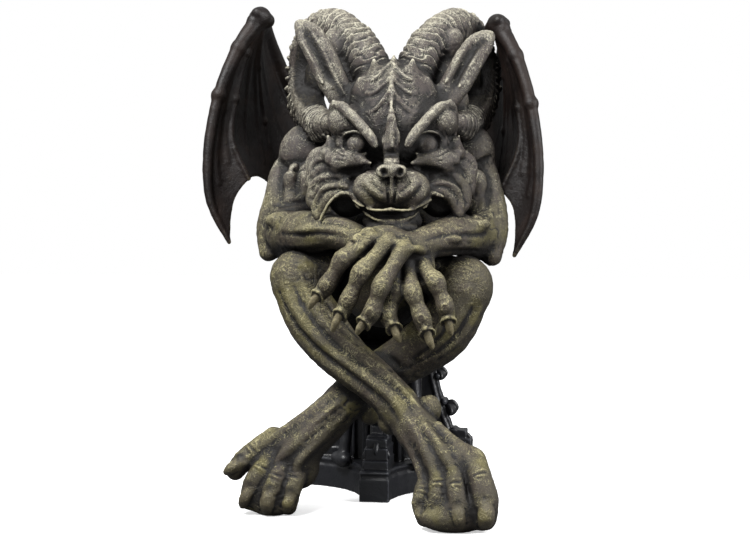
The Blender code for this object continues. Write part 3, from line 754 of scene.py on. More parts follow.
def horn(clay, side):
    heart = face(side, *HORN_EYE)
    bones = face_line(side, HORN)
    rng = np.random.default_rng(20 + side)
    uneven = rng.uniform(0.75, 1.25, 400).astype(np.float32)

    def relief(travel, points, middle, length):
        off = [points[i] - middle[i] for i in range(3)]
        outward = [(middle[i] - heart[i]) * (1.0, 0.3, 1.0)[i] for i in range(3)]
        size = np.sqrt(sum(o * o for o in off) * sum(o * o for o in outward)) + 1e-6
        facing = sum(a * b for a, b in zip(off, outward)) / size
        front = -off[1] / (np.sqrt(sum(o * o for o in off)) + 1e-6)
        late = np.clip((travel - 60) / 60, 0, 1)
        pitch = HORN_PLATES[0] + (HORN_PLATES[1] - HORN_PLATES[0]) * late
        turn = np.arctan2(front, facing)
        waves = 1.5 * np.cos(4 * turn + 0.12 * travel) + 0.8 * np.sin(0.9 * travel + 2 * turn)
        ring = (travel + 2.0 * front + (1 - 0.7 * late) * waves) / pitch
        number = np.clip(np.floor(ring), 0, 399).astype(np.int32)
        ring = ring - np.floor(ring)
        plates = (1.9 - 0.5 * late) * uneven[number] * ring * np.clip((1 - ring) / 0.14, 0, 1)
        inner_side = np.clip((0.66 - facing) / 0.1, 0, 1)
        smooth_side = np.clip((travel - 66) / 10, 0, 1) * np.clip((168 - travel) / 10, 0, 1) * inner_side
        keel = np.clip((facing - 0.80) / 0.20, 0, 1) * 1.6 * np.clip((travel - 50) / 12, 0, 1)
        taper = np.clip(travel / 12, 0, 1) * np.clip((length - travel) / 10, 0, 1)
        return (plates * (1 - 0.85 * smooth_side) + keel) * taper

    clay.roll(bones, blend=2.5, relief=relief)
    clay.lump(face(side, 49, -27, 291), (11, 7, 19), (0, -14 * side, 0), blend=3)
    # Two lines of painted shade darken the front of each coil and leave its outer keel pale.
    inner_painted_shade = [(50, -36, 306, 5), (53, -27, 294, 8), (53, -29, 280, 8), (50, -42, 268, 5)]
    outer_painted_shade = [(55, -28, 316, 6), (59, -22, 301, 7.5), (59, -24, 280, 7.5), (54, -42, 267, 5.5)]
    clay.shade(face_line(side, inner_painted_shade))
    clay.shade(face_line(side, outer_painted_shade))


print(f"each horn has {len(HORN)} stations and plates {HORN_PLATES[0]} to {HORN_PLATES[1]} units apart")

# %% [markdown]
# ### Ears
#
# The ears are long and cupped like leaves. Each is a flat leaf of clay with two rolled edges, and the fold
# between them is drawn with strokes.

# %% Ears like leaves
EAR_TIPS = {-1: (61.5, -74, 317), 1: (62.5, -74, 310)}
EAR_ROOT = (31, -82, 265)


def ear(clay, side):
    tip = EAR_TIPS[side]
    line = [EAR_ROOT, between(EAR_ROOT, tip, 0.3, (0.5, -1, 1)), between(EAR_ROOT, tip, 0.58, (-1, -2, 2)),
        between(EAR_ROOT, tip, 0.85, (-1, -1, 2)), tip]
    normal = np.array(face(side, -0.30, -1, 0.2)) - np.array(face(side, 0, 0, 0))
    sizes = ((8.0, 5.0), (9.6, 4.8), (9.8, 4.2), (7.2, 3.4), (2.8, 2.2))
    clay.leaf([(*place, *size, *normal) for place, size in zip(face_line(side, line), sizes)], blend=4)
    for shift, rise, sizes in (((-5.8, -1.6, 2.4), 0, (2.2, 2.2, 2.2, 1.6)),
        ((5.8, -0.8, -2.8), 0, (1.8, 2.0, 2.0, 1.5))):
        edge = [(x + shift[0], y + shift[1], z + shift[2], r) for (x, y, z), r in zip(line[:4], sizes)]
        clay.roll(face_line(side, edge + [(*tip, 1.5)]), blend=4.5)
    for shift, width, height in ((0.6, 2.2, -3.6), (-3.8, 1.0, 1.2), (4.2, 1.0, 1.2)):
        crease(clay, side, [(x + shift, z - 0.5 * shift) for x, _, z in line[:4]], width, height)
    clay.shade(face_line(side, [(x + 0.8, y - 3, z, 1.5) for x, y, z in line[:4]]))


# %% [markdown]
# ### Wrinkles
#
# Now a fine tool works the clay. A wrinkle is a stroke through a few places as they are seen from the
# front. A needle pushed in at each place finds the skin, so the wrinkle lies on the clay whatever its
# shape, and rows of like wrinkles come from a loop.

# %% Wrinkles drawn on the face
CHEVRONS = (
    [(0.4, 291), (4, 286), (8, 281.5), (12, 279), (17, 279)],
    [(0.4, 281), (3, 277), (6.5, 273.5), (11.5, 270), (17, 271)],
    [(0.4, 272), (3, 268), (5.5, 264.5), (10.5, 259), (17, 257)],
    [(0.4, 256), (2.4, 251), (4.2, 244), (4.8, 237)],
)
WHISKER_FOLDS = (
    ([(2.5, 199), (8, 200.5), (14, 205), (19.5, 212.5)], 1.8, -1.5),
    ([(8, 197), (14, 199.5), (19.5, 205), (23, 212)], 1.8, 1.3),
    ([(2.5, 203), (8, 205), (13, 209.5), (17, 216)], 1.7, 1.1),
    ([(4, 207), (8.5, 209.5), (12, 214.5)], 1.4, -1.0),
    ([(15, 197), (20, 201), (24, 207)], 1.5, -1.2), ([(2.2, 214.5), (2.5, 208), (1.5, 200)], 1.0, -1.6),
)


def face_wrinkles(clay):
    for side in (-1, 1):
        for ridge in CHEVRONS:
            crease(clay, side, ridge, 1.2, 2.6)
            crease(clay, side, [(x + 1.8, z - 2.8) for x, z in ridge[:-1]], 1.5, -1.9)
        for step in range(4):
            crown = [(4 + step, 268 + 6 * step), (9, 265.5 + 5.5 * step), (15 + step, 266.5 + 5 * step)]
            temple = [(22 + step, 282 - 2 * step), (27 + 1.6 * step, 275 - 2 * step),
                (33 + step, 268 - step)]
            crease(clay, side, crown, 0.5, 0.5)
            crease(clay, side, temple, 0.6, 0.6 - 0.4 * step)
        for step in range(3):
            over_brow = [(31 - step, 268 + 2.6 * step), (24, 262.5 + 3 * step), (16, 255 + 3.4 * step),
                         (10.5 - step, 247 + 3 * step)]
            crease(clay, side, over_brow, 0.7, 0.5)
        for step in range(4):
            curl = [(1.2 + 1.5 * step, 224.6 + 0.6 * step), (2.6 + 1.6 * step, 227.4 + 0.9 * step),
                    (5.4 + 1.5 * step, 227.6 - 0.4 * step)]
            crease(clay, side, curl, 0.5, 0.8)
        for places, width, height in WHISKER_FOLDS:
            crease(clay, side, places, width, height)
        for step in range(4):
            chin = [(4 + 4.0 * step, 184 + step), (4.4 + 3.8 * step, 180.5 + step),
                (3.4 + 3.6 * step, 177.5 + step)]
            crease(clay, side, chin, 0.7, -0.7)
        for step in range(4):
            eye_corner = [(33 + step, 250 - 3 * step), (36, 245 - 2.5 * step), (37, 239 - step)]
            eye_bag = [(27 + step, 231 - 1.5 * step), (32 - step, 232 - 1.8 * step), (37, 236 - 2.5 * step)]
            forehead = [(14 + 3 * step, 258 + 3 * step), (17 + 3 * step, 263 + 2.4 * step),
                (15 + 3 * step, 268 + 2 * step)]
            crease(clay, side, eye_corner, 0.6, 0.5 - step % 2)
            crease(clay, side, eye_bag, 0.6, 0.5 - step % 2)
            crease(clay, side, forehead, 0.5, 0.4)


def head_relief(places):
    slow = np.clip(0.5 + 0.9 * noise(places, 17.0, 9.7), 0.0, 1.0)
    folds = 0.16 * slow * wrinkles(places, 7.5, 3.2)
    return folds + 0.13 * noise(places, 1.9, 3.1) + 0.10 * noise(places, 4.3, 7.1)


# %% Cast the head
def sculpt_head():
    clay = Clay((-66, -150, 174), (94, 24, 336), 0.55 * FINENESS)
    skull(clay)
    muzzle(clay)
    for side in (-1, 1):
        brows(clay, side)
        jowls(clay, side)
        ear(clay, side)
    for side in (-1, 1):
        horn(clay, side)
    face_wrinkles(clay)
    weather(clay, head_relief)
    return clay


head_clay = sculpt_head()
share_nearby(head_clay)
gargoyle_head = cast(head_clay, "gargoyle_head", 190000)
measure(head_clay, gargoyle_head)

# %% [markdown]
# ## The body, the arms and the hands
#
# The trunk is heavy and hunched. Its arms fold in front of the chest, and the hands hang down over the
# knees with long claws. Each finger is three rolls with swollen joints, and each claw is a thin curved cone
# that starts under a fold of skin.

# %% Trunk and back
def trunk(clay):
    clay.lump((5, 10, 118), (40, 36, 26), blend=8)
    clay.lump((5, -10, 148), (34, 31, 30), blend=8)
    clay.lump((5, 2, 185), (42, 34, 38), blend=8)
    clay.lump((8, -62, 152), (33, 34, 35), blend=6)
    clay.lump((8, -66, 178), (40, 34, 23), blend=6)
    clay.lump((5, 10, 220), (44, 28, 28), blend=8)
    clay.lump((-27, -52, 196), (18, 17, 22), blend=5)
    clay.lump((44, -52, 196), (16, 17, 22), blend=5)
    for side in (-1, 1):
        clay.lump((5 + 29 * side, -6, 232), (22, 23, 18), blend=6)
        clay.lump((5 + 22 * side, 26, 212), (18, 13, 27), (0, 12 * side, 0), blend=4)
        clay.lump((5 + 17 * side, 34, 168), (14, 10, 26), (0, 8 * side, 0), blend=5)
    clay.roll([(5, 0, 236, 26), (8, -24, 246, 23.5), (11, -46, 250, 19)], blend=8)
    clay.roll([(-18, 4, 126, 25), (-28, -26, 134, 22)], blend=6)
    clay.roll([(28, 4, 126, 25), (40, -26, 133, 22)], blend=6)
    spine = ((28, 118), (34, 129), (37, 140), (39.5, 151), (40, 162), (41, 173), (41, 184), (40.5, 195),
        (39, 206), (37, 217), (33, 228), (26, 238), (17, 247), (5, 257), (-8, 264))
    clay.roll([(5, y, z, 4.2) for y, z in spine], blend=4)
    for y, z in spine:
        clay.lump((5, y + 2.0, z), (5.6, 5.2, 4.6), blend=1.6)
    for side in (-1, 1):
        for number in range(6):
            z = 134 + 11 * number
            arc = [(5 + side * 8, z + 6), (5 + side * 20, z + 7), (5 + side * 33, z + 1),
                (5 + side * 40, z - 7)]
            clay.draw(arc, 2.2, 1.3, way=(0.0, -1.0, 0.0))


# %% [markdown]
# ### Arms
#
# The forearms cross in front of the chest. Each part of an arm is a tapered roll, and muscles are eggs over
# it with a small fillet, so that the borders between them can still be seen.

# %% Arms
def arms(clay):
    clay.roll([(-48, -22, 230, 18.5), (-54, -44, 211, 17.5), (-60, -66, 185, 14.5)], blend=5)
    clay.roll([(54, -22, 230, 18.5), (62, -44, 211, 17.5), (72, -66, 185, 14.5)], blend=5)
    for x in (-48, 56):
        clay.lump((x, -52, 207), (13, 14, 22), (25, 0, 0), blend=3)
    left_forearm = [(-60, -70, 178, 14.5), (-41, -92, 181, 14.5), (-20, -108, 182, 11), (0, -120, 176, 9.6),
        (14, -126, 170, 9.8)]
    right_forearm = [(72, -70, 178, 15), (59, -92, 180, 13.5), (45, -112, 177, 11), (34, -124, 173, 10)]
    clay.roll(left_forearm, blend=3)
    clay.roll(right_forearm, blend=3)
    muscles = (
        ((-51, -45, 235), (17.5, 14, 20), (0, 24, 0)), ((-56.5, -58, 214), (7.4, 9.5, 14), (20, 10, 0)),
        ((-46, -56, 211), (7, 9, 14), (20, 6, 0)), ((-54, -80, 188), (17, 9, 7), (0, 4, 0)),
        ((-26, -108, 184.5), (18, 7, 5), (0, -4, 0)),
        ((61, -45, 235), (17.5, 14, 20), (0, -24, 0)), ((68, -60, 208), (8.6, 9.5, 15.5), (22, -4, 0)),
        ((54, -58, 212), (6.5, 9, 13), (20, -4, 0)), ((63, -90, 186), (16, 9, 7), (0, -4, 0)),
        ((48, -112, 179), (15, 7, 5), (0, 6, 0)),
    )
    for place, sizes, tilt in muscles:
        clay.lump(place, sizes, tilt, blend=2)
    clay.roll([(-62, -34, 232, 7), (-66, -46, 220, 9), (-68, -56, 203, 9), (-72, -66, 184, 8),
            (-70, -74, 168, 6.5)], blend=3)
    clay.roll([(68, -34, 232, 7), (72, -48, 220, 9), (78, -58, 200, 9), (81, -68, 184, 8),
            (79, -76, 166, 6.5)], blend=3)
    for line in MUSCLE_GROOVES:
        clay.draw(line, 2.4, -1.9)
    for line in FOREARM_LINES:
        clay.draw(line, 1.8, -0.9)
        clay.draw([(x, z + 3.2) for x, z in line], 1.8, 0.6)


MUSCLE_GROOVES = (
    [(-69, 231), (-61, 223), (-49, 222), (-38, 228)], [(-62.5, 230), (-64, 217), (-62.5, 204), (-59, 197)],
    [(-50.5, 228), (-51.5, 215), (-51, 203)], [(-42, 226), (-41, 212), (-43, 202)],
    [(-68, 197), (-57, 200), (-46, 201), (-33, 202)],
    [(50, 225), (60, 224), (70, 227), (77, 234)], [(74, 223), (76.5, 208), (75, 194)],
    [(60, 223), (58.5, 208), (61, 194)],
    [(46, 196), (60, 194), (69, 192), (79, 187)],
)
FOREARM_LINES = (
    [(-60, 181), (-44, 180), (-24, 181), (-6, 178)], [(-58, 171), (-42, 170), (-24, 172)],
    [(-30, 187), (-16, 187), (-2, 183)],
    [(78, 180), (66, 180), (52, 180), (38, 176)], [(74, 169), (62, 170), (48, 170)],
)


# %% [markdown]
# ### Hands
#
# One function makes every finger from its knuckle, two joints and the tip of its claw: a roll that swells
# at the joints, an oval ring of skin on each joint, and a hood of skin that the claw grows from. The line
# of the claw is kept, because claws get another colour.

# %% Hands and claws
def finger(clay, places, thick, claw=2.5):
    """A finger through its knuckle, two joints and the tip of its claw."""
    knuckle, middle, end, tip = (np.array(place, dtype=float) for place in places)
    ahead = (tip - end) / np.linalg.norm(tip - end)
    out = np.array((0.0, -1.0, 0.25))
    out -= ahead * (out @ ahead)
    out /= np.linalg.norm(out)
    across = np.cross(ahead, out)
    pad = end + 0.45 * (tip - end) - 1.0 * out
    halfway = 0.5 * knuckle + 0.5 * middle
    further = 0.5 * middle + 0.5 * end
    clay.roll([(*knuckle, thick * 1.0), (*halfway, thick * 0.80), (*middle, thick * 1.04),
               (*further, thick * 0.80), (*end, thick * 0.98), (*pad, thick * 0.78)], blend=1.6)
    tendon_end = halfway + 0.8 * out * thick * 0.7
    clay.roll([(*(knuckle * 1.2 - middle * 0.2), 1.4), (*(knuckle + 1.2 * out), 2.4), (*tendon_end, 1.7)],
        blend=2.5)
    for joint, back, front in ((middle, knuckle, end), (end, middle, tip)):
        along = (front - back) / np.linalg.norm(front - back)
        rise = np.array((0.0, -1.0, 0.15))
        rise -= along * (rise @ along)
        rise /= np.linalg.norm(rise)
        wide = np.cross(along, rise)
        centre = joint + rise * thick * 0.98
        oval = [centre + along * 3.0 * math.cos(t) + wide * 2.3 * math.sin(t)
            - rise * 0.35 * math.sin(t) ** 2 for t in np.linspace(0, 2 * math.pi, 13)]
        clay.stroke(oval, 0.6, 0.85)
        for shift in (-0.9, 0.9):
            clay.stroke([centre + along * shift + wide * w for w in (-1.8, 0, 1.8)], 0.45, 0.4)
        for shift in (-4.6, 4.4):
            arc = [joint + along * shift + (rise * math.cos(t) + wide * math.sin(t)) * thick * 0.95
                for t in (-1.0, -0.4, 0.4, 1.0)]
            clay.stroke(arc, 0.7, -0.7)
    bed = end + 0.34 * (tip - end)
    for turn in (-1, 1):
        hood = [bed + out * thick * 0.95 - ahead * 1.5,
            bed + across * turn * thick * 0.62 + out * thick * 0.72 + ahead * 0.4,
            bed + across * turn * thick * 0.86 + out * thick * 0.3 + ahead * 3.2,
            bed + across * turn * thick * 0.74 - out * 0.4 + ahead * 6.2]
        clay.roll([(*place, size) for place, size in zip(hood, (0.5, 0.5, 0.4, 0.3))], blend=2.6)
    clay.shade([(*(bed + out * thick * 0.6 + ahead * 0.8), 1.6),
            (*(bed + out * thick * 0.6 + ahead * 2.4), 1.8)])
    root = bed + out * thick * 0.42 + ahead * 2.0
    arch_of_claw = root + 0.45 * (tip - root) + out * 1.3
    near_tip = root + 0.85 * (tip - root) + out * 0.8
    clay.claw([(*root, claw * 0.9), (*arch_of_claw, claw), (*near_tip, claw * 0.7), (*tip, claw * 0.34)],
        blend=0.5)


HANDS = (
    (((23, -130, 160), (24, -139, 146), (20, -142, 132), (27, -139, 115)), 5.8),
    (((31, -130, 160), (35, -141, 146), (41, -142, 130), (47, -137, 111)), 5.8),
    (((39, -128, 162), (49, -138, 152), (55, -138, 137), (58, -131, 119)), 5.8),
    (((8, -134, 178), (-8, -143, 166), (-18, -142, 150), (-30, -137, 135)), 5.8),
    (((19, -137, 176), (4, -147, 158), (-4, -146, 141), (-15, -141, 121)), 5.8),
    (((29, -139, 172), (17, -149, 150), (11, -148, 134), (1, -143, 120)), 5.8),
    (((18, -128, 178), (6, -133, 182), (0, -137, 178), (-5, -139, 171)), 3.6),
)


def hands(clay):
    clay.lump((20, -129, 175), (18, 9, 11), (0, 16, 0), blend=4)
    clay.lump((32, -122, 161), (15, 9, 14), blend=4)
    for start, finish in (((36, -128, 176), (8, -136, 179)), ((38, -130, 173), (20, -139, 176)),
        ((40, -131, 171), (30, -141, 172))):
        clay.roll([(*start, 2.4), (*between(start, finish, 0.5, (0, -3, 1)), 2.2), (*finish, 3.2)], blend=2)
    for places, thick in HANDS:
        finger(clay, places, thick)


def body_relief(places):
    slow = np.clip(0.45 + 0.9 * noise(places, 20.0, 9.7), 0.0, 1.0)
    folds = 0.20 * slow * wrinkles(places, 9.0, 3.4)
    return folds + 0.12 * noise(places, 2.2, 1.9) + 0.16 * noise(places, 5.5, 6.3)


print(len(HANDS), "fingers, with the thumb")

# %% Cast the body
def sculpt_body():
    clay = Clay((-86, -158, 100), (98, 58, 268), 0.7 * FINENESS)
    trunk(clay)
    arms(clay)
    hands(clay)
    weather(clay, body_relief)
    saw_off(clay, GRID_SEAT + GLUE_LINE, front=SEAT_FRONT, margin=0.0)
    return clay


body_clay = sculpt_body()
share_nearby(body_clay)
gargoyle_body = cast(body_clay, "gargoyle_body", 190000)
measure(body_clay, gargoyle_body)

# %% [markdown]
# ## The crossed legs and the feet
#
# The figure sits on the cap with its knees up, and its shins cross in front of the pedestal. A leg is two
# tapered rolls that meet in a knee of two eggs. The near shin is joined with a smaller fillet, so that it
# lies on the far one.

# %% Legs
def legs(clay):
    clay.roll([(-18, 4, 126, 24.5), (-34, -46, 141, 23.5), (-46, -86, 151, 18.5)], blend=5)
    clay.roll([(28, 4, 126, 24.5), (48, -46, 138, 23.5), (62, -84, 147, 18.5)], blend=5)
    clay.lump((-46, -96, 152), (18, 15, 18), blend=4)
    clay.lump((-31, -86, 158), (15, 15, 15), blend=4)
    clay.lump((62, -93, 148), (18, 15, 19), blend=4)
    clay.lump((45, -84, 154), (15, 15, 15), blend=4)
    far_shin = [(62, -91, 142, 17), (49, -90, 119, 19), (28, -89, 102, 16.5), (4, -92, 88, 13.5),
        (-14, -95, 73, 12.5)]
    clay.roll(far_shin, blend=4)
    near_shin = [(-46, -96, 146, 16), (-33, -102, 124, 18), (-14, -109, 103, 15.5), (8, -115, 87, 13.5),
        (24, -116, 71, 12.5)]
    clay.roll(near_shin, blend=2.5)


# %% [markdown]
# ### Feet
#
# A foot is a wedge of eggs, and its tendons are thin rolls with wide fillets. The toes are bent, and a
# function makes each of them with its wrinkles and its blunt claw.

# %% Feet
def toe(clay, stations, nail):
    """A short toe that curls down, and its blunt claw."""
    clay.roll(stations, blend=2.2)
    base, knuckle, end = (np.array(row[:3], dtype=float) for row in stations[:3])
    along = (end - base) / np.linalg.norm(end - base)
    rise = np.array((0.0, -0.8, 0.6))
    rise -= along * (rise @ along)
    rise /= np.linalg.norm(rise)
    wide = np.cross(along, rise)
    thick = stations[1][3]
    for shift, turn in ((-1.6, 0.25), (1.8, -0.2)):
        arc = [knuckle + along * (shift + turn * 3 * t) + (rise * math.cos(t) + wide * math.sin(t)) * thick
            for t in (-0.8, -0.3, 0.2, 0.7)]
        clay.stroke(arc, 0.9, 0.6)
        clay.stroke([place + along * 1.7 for place in arc], 0.8, -0.6)
    first = np.array(nail[0][:3], dtype=float)
    clay.shade([(*(first + (0, 0.5, 3.4)), 1.4), (*(first + (0, 0, 2.2)), 1.4)])
    clay.roll([(*(first + wide * w + (0, 2.2, 4.0 - abs(w) * 0.6)), 1.2) for w in (-4.0, -2.0, 0, 2.0, 4.0)],
        blend=2.6)
    clay.claw([(x, y + 1.4, z, r * 0.92) for x, y, z, r in nail], blend=0.9)


FAR_TOES = (
    ([(-60, -104, 47, 8.2), (-72, -110, 39, 7.6), (-79, -113, 33, 7.0), (-84, -112, 27, 6.0)],
     [(-79, -119, 34, 3.8), (-85, -119, 30, 4.0), (-89, -116.5, 27, 2.6)]),
    ([(-58, -106, 40, 7.4), (-65, -117, 29, 7.0), (-71, -119, 20, 6.4), (-74, -115, 9, 6.2)],
     [(-71, -123.5, 18, 3.8), (-75, -124, 12, 4.2), (-77.5, -120.5, 7, 3.2)]),
    ([(-50, -108, 36, 7.4), (-55, -119, 24.5, 7.0), (-58.5, -121, 16, 6.8), (-60, -117, 6, 6.4)],
     [(-58, -126.5, 16, 4.6), (-60, -127, 10, 5.2), (-61, -123, 5, 4.2)]),
    ([(-42, -106, 31, 7.2), (-44, -117, 22.5, 6.6), (-46, -119, 15, 6.2), (-49, -114, 6, 6.0)],
     [(-45, -123.5, 15, 3.8), (-47, -124, 9.5, 4.4), (-49.5, -120.5, 5, 3.4)]),
)
NEAR_TOES = (
    ([(45, -137, 29, 6.6), (42.5, -145, 22.5, 6.2), (41.5, -148, 15, 5.8), (43.5, -146, 7, 5.4)],
     [(41.5, -152, 15, 3.4), (41.5, -153, 10.5, 3.8), (43.5, -150.5, 6, 3.0)]),
    ([(51, -137, 37, 6.6), (52, -147, 27.6, 6.4), (51.5, -150.5, 18, 6.2), (52.5, -149, 7, 5.8)],
     [(51.6, -155, 16, 3.8), (52.2, -156.5, 10.5, 4.2), (53.5, -153.5, 6, 3.2)]),
    ([(61, -138, 38, 7.0), (62.5, -149, 27.6, 6.8), (64.5, -153, 18, 6.6), (65.5, -151, 7, 6.2)],
     [(64.6, -158, 16.5, 4.2), (65.4, -159.2, 10.5, 4.6), (66.5, -156, 6, 3.6)]),
    ([(71, -133, 41, 9.0), (77, -146, 31.8, 8.0), (80.5, -150.5, 20, 8.6), (79.5, -148, 9, 8.2)],
     [(81.5, -157.5, 18.5, 5.0), (82, -159, 12, 5.8), (81, -155.5, 7, 4.6)]),
)


def feet(clay):
    clay.roll([(-12, -95, 74, 12.5), (-28, -100, 58, 14.5), (-44, -104, 42, 15)], blend=4)
    clay.lump((-50, -105, 33), (21, 13, 17), (0, 35, 0), blend=5)
    clay.lump((-60, -113, 13.5), (18, 12, 13.5), blend=4)
    clay.lump((-60, -116, 9), (16, 8.5, 9.5), (0, 0, -8), blend=3)
    clay.lump((1, -92, 65), (8, 8, 9), blend=3)
    clay.roll([(23, -116, 72, 12.2), (36, -122, 57, 13.5), (50, -130, 42, 14)], blend=4)
    clay.lump((58, -134, 34), (21, 13, 18), (0, -35, 0), blend=5)
    clay.lump((62, -146, 13), (22.5, 12.5, 13), blend=4)
    clay.lump((62, -150, 9), (21.5, 9.5, 9.5), (0, 0, 14), blend=3)
    clay.lump((17.5, -113, 61), (8, 9, 8), blend=2.5)
    clay.lump((42, -112, 70), (8, 8, 9), blend=3)
    tendons = (
        [(34, -133, 62, 2.0), (40, -138, 53, 2.4), (47, -144, 40, 2.4), (51, -147, 31, 2.2)],
        [(27, -128, 58, 2.0), (34, -134, 46, 2.2), (40, -141, 33, 2.2), (43, -144, 26, 2.0)],
        [(42, -134, 62, 2.0), (52, -141, 51, 2.4), (60, -147, 38, 2.4), (62, -148, 31, 2.2)],
        [(50, -128, 62, 2.2), (64, -136, 50, 2.8), (73, -143, 39, 2.8), (77, -146, 34, 2.4)],
        [(-18, -109, 70, 2.2), (-32, -115, 57, 2.6), (-48, -118, 43, 2.4), (-56, -118, 34, 2.2)],
        [(-18, -108, 60, 2.2), (-29, -115, 48, 2.4), (-40, -119, 36, 2.4), (-44, -118, 27, 2.0)],
        [(-20, -104, 78, 2.0), (-40, -108, 63, 2.6), (-58, -111, 50, 2.8), (-68, -112, 42, 2.6)],
    )
    for tendon in tendons:
        clay.roll(tendon, blend=3.5)
    for stations, nail in FAR_TOES + NEAR_TOES:
        toe(clay, stations, nail)


def leg_lines(clay):
    """Long grooves and ridges that follow the muscles down each shin."""
    near = [(-58, 148), (-47, 128), (-28, 108), (-4, 91), (16, 76), (26, 62)]
    far = [(70, 136), (60, 118), (44, 104), (24, 94)]
    for shift, height in ((-6, 1.2), (0, -1.8), (5, 1.5), (11, -1.7), (17, 1.4), (23, -1.4)):
        clay.draw([(x + shift, z + 0.35 * shift) for x, z in near], 2.0, height)
    for shift, height in ((6, 1.2), (0, -1.6), (-6, 1.3), (-12, -1.5)):
        clay.draw([(x + shift, z + 0.2 * shift) for x, z in far], 2.0, height)
    far_low = [(-4, 78), (-20, 66), (-36, 54), (-50, 44)]
    for shift, height in ((0, -1.0), (6, 0.8)):
        clay.draw([(x + shift, z - 0.5 * shift) for x, z in far_low], 1.8, height)
    for centre in ((-48, 158), (60, 154)):
        for ring in (5, 9, 13):
            for turn in (0.2, 2.4, 4.2):
                turns = np.linspace(turn, turn + 1.5, 5)
                arc = [(centre[0] + ring * math.cos(t) + 1.5 * math.sin(3 * t),
                        centre[1] + 0.7 * ring * math.sin(t)) for t in turns]
                clay.draw(arc, 0.9, 0.6)


print(len(FAR_TOES), "toes on the far foot and", len(NEAR_TOES), "on the near one")

# %% Cast the legs
def sculpt_legs():
    clay = Clay((-104, -172, -4), (102, 44, 186), 0.75 * FINENESS)
    legs(clay)
    feet(clay)
    leg_lines(clay)
    weather(clay, body_relief)
    saw_off(clay, GRID_SEAT + GLUE_LINE, front=SEAT_FRONT, margin=0.0)
    saw_off(clay, 0.0)
    return clay


legs_clay = sculpt_legs()
share_nearby(legs_clay)
gargoyle_legs = cast(legs_clay, "gargoyle_legs", 150000)
measure(legs_clay, gargoyle_legs)

# %% [markdown]
# ## The wings
#
# Each wing is cast on its own and glued to a flat seat in the back. It is a bat's: an arm, a knuckle, three
# finger bones and a membrane that sags between them. The membrane is a surface ruled between two curves, so
# we can work out its points directly, give it a thickness, and let OpenVDB turn that closed sheet into
# distances that join the clay.

# %% The wing's bones
WING_ROOT = (20.0, 36.0, 214.0)
WING_SEAT_YAW = 28.0
WING_LEAN = 4.0
WING_DRIFT = -3.0
KNUCKLE = (82, -30, 325)
FINGERS = (
    (KNUCKLE, (95, -42, 303), (106, -54, 270), (111.5, -62, 231), (109, -66, 197), (96, -66, 170)),
    (KNUCKLE, (91, -34, 300), (97, -42, 268), (98, -48, 240), (86, -50, 213)),
    (KNUCKLE, (87, -18, 292), (86, -4, 255), (82, 4, 226), (78, 8, 204)),
)
FINGER_SIZES = ((6.2, 4.6, 3.8, 3.4, 2.8, 1.2), (4.4, 2.2, 2.0, 1.8, 1.2), (4.4, 2.2, 2.0, 1.8, 1.2))
ARM_SIZES = (7, 6.0, 6.5, 8.5, 9)


def wing_place(side, place):
    """A place on a wing; the left one, at -1, is set a little higher than the right one."""
    return np.array([side * place[0] + WING_DRIFT, place[1], place[2] - side * WING_LEAN], dtype=float)


def wing_seat(side):
    """The flat joint in the back: its place, and the way out of it."""
    yaw = math.radians(WING_SEAT_YAW)
    place = np.array([5 + WING_ROOT[0] * side, WING_ROOT[1], WING_ROOT[2]])
    return place, np.array([side * math.sin(yaw), math.cos(yaw), 0])


def wing_lines(side):
    root, out = wing_seat(side)
    arm = [wing_place(side, place) for place in (KNUCKLE, (85, 8, 312), (69, 34, 272))]
    fingers = [[wing_place(side, place) for place in finger] for finger in FINGERS]
    return fingers, arm + [root, root - 10 * out]


print("finger bones in a wing:", len(FINGERS))

# %% A membrane between two bones
def ruled_place(near, far, along, share):
    """A place on the membrane: a share of the way from one bone to the other, and along both."""
    dip = 4 * share * (1 - share) * along
    reach = np.clip(along - 0.08 * dip, 0, 1)
    left = np.array([np.interp(reach * (len(near) - 1), np.arange(len(near)), near[:, i]) for i in range(3)])
    right = np.array([np.interp(reach * (len(far) - 1), np.arange(len(far)), far[:, i]) for i in range(3)])
    return left + (right - left) * share + np.array([0, 4.0 * dip, 0])


def membrane(clay, near, far, thick, rows=60, across=30):
    """A closed sheet between two curves, joined to the clay."""
    near, far = smooth_line(near, 12), smooth_line(far, 12)
    sheet = np.array([[ruled_place(near, far, (k + 5) / (rows + 5), j / across) for j in range(across + 1)]
            for k in range(rows + 1)])
    way = np.cross(np.gradient(sheet, axis=0), np.gradient(sheet, axis=1))
    way /= np.linalg.norm(way, axis=2, keepdims=True)
    thin = np.linspace(thick, thick * 0.8, rows + 1)[:, None, None]
    points = np.concatenate([(sheet + way * thin).reshape(-1, 3), (sheet - way * thin).reshape(-1, 3)])
    number = np.arange((rows + 1) * (across + 1)).reshape(rows + 1, across + 1)
    back = number + number.size
    quads = np.stack([number[:-1, :-1], number[1:, :-1], number[1:, 1:], number[:-1, 1:]],
        axis=-1).reshape(-1, 4)
    rim = np.concatenate([number[0, :], number[1:, -1], number[-1, -2::-1], number[-2:0:-1, 0]])
    edge = np.stack([rim, np.roll(rim, -1), np.roll(rim, -1) + number.size, rim + number.size], axis=1)
    faces = np.concatenate([quads, quads[:, ::-1] + number.size, edge])
    join_solid(clay, points, faces, blend=1.5)
    return sheet


def join_solid(clay, points, quads, blend=0.8):
    """Joins a closed mesh to the clay through its level set."""
    width = 6 * clay.grain
    steady = openvdb.createLinearTransform(voxelSize=clay.grain)
    cells = (np.asarray(points) - clay.lowest).astype(np.float32)
    quads = np.asarray(quads, dtype=np.uint32)
    solid = openvdb.FloatGrid.createLevelSetFromPolygons(cells, quads=quads, transform=steady, halfWidth=6.0)
    part, _ = clay.window(points.min(0) - width, points.max(0) + width)
    block = np.full(clay.field[part].shape, width, dtype=np.float32)
    solid.copyToArray(block, ijk=tuple(int(side.start) for side in part))
    clay.join(part, block, blend)


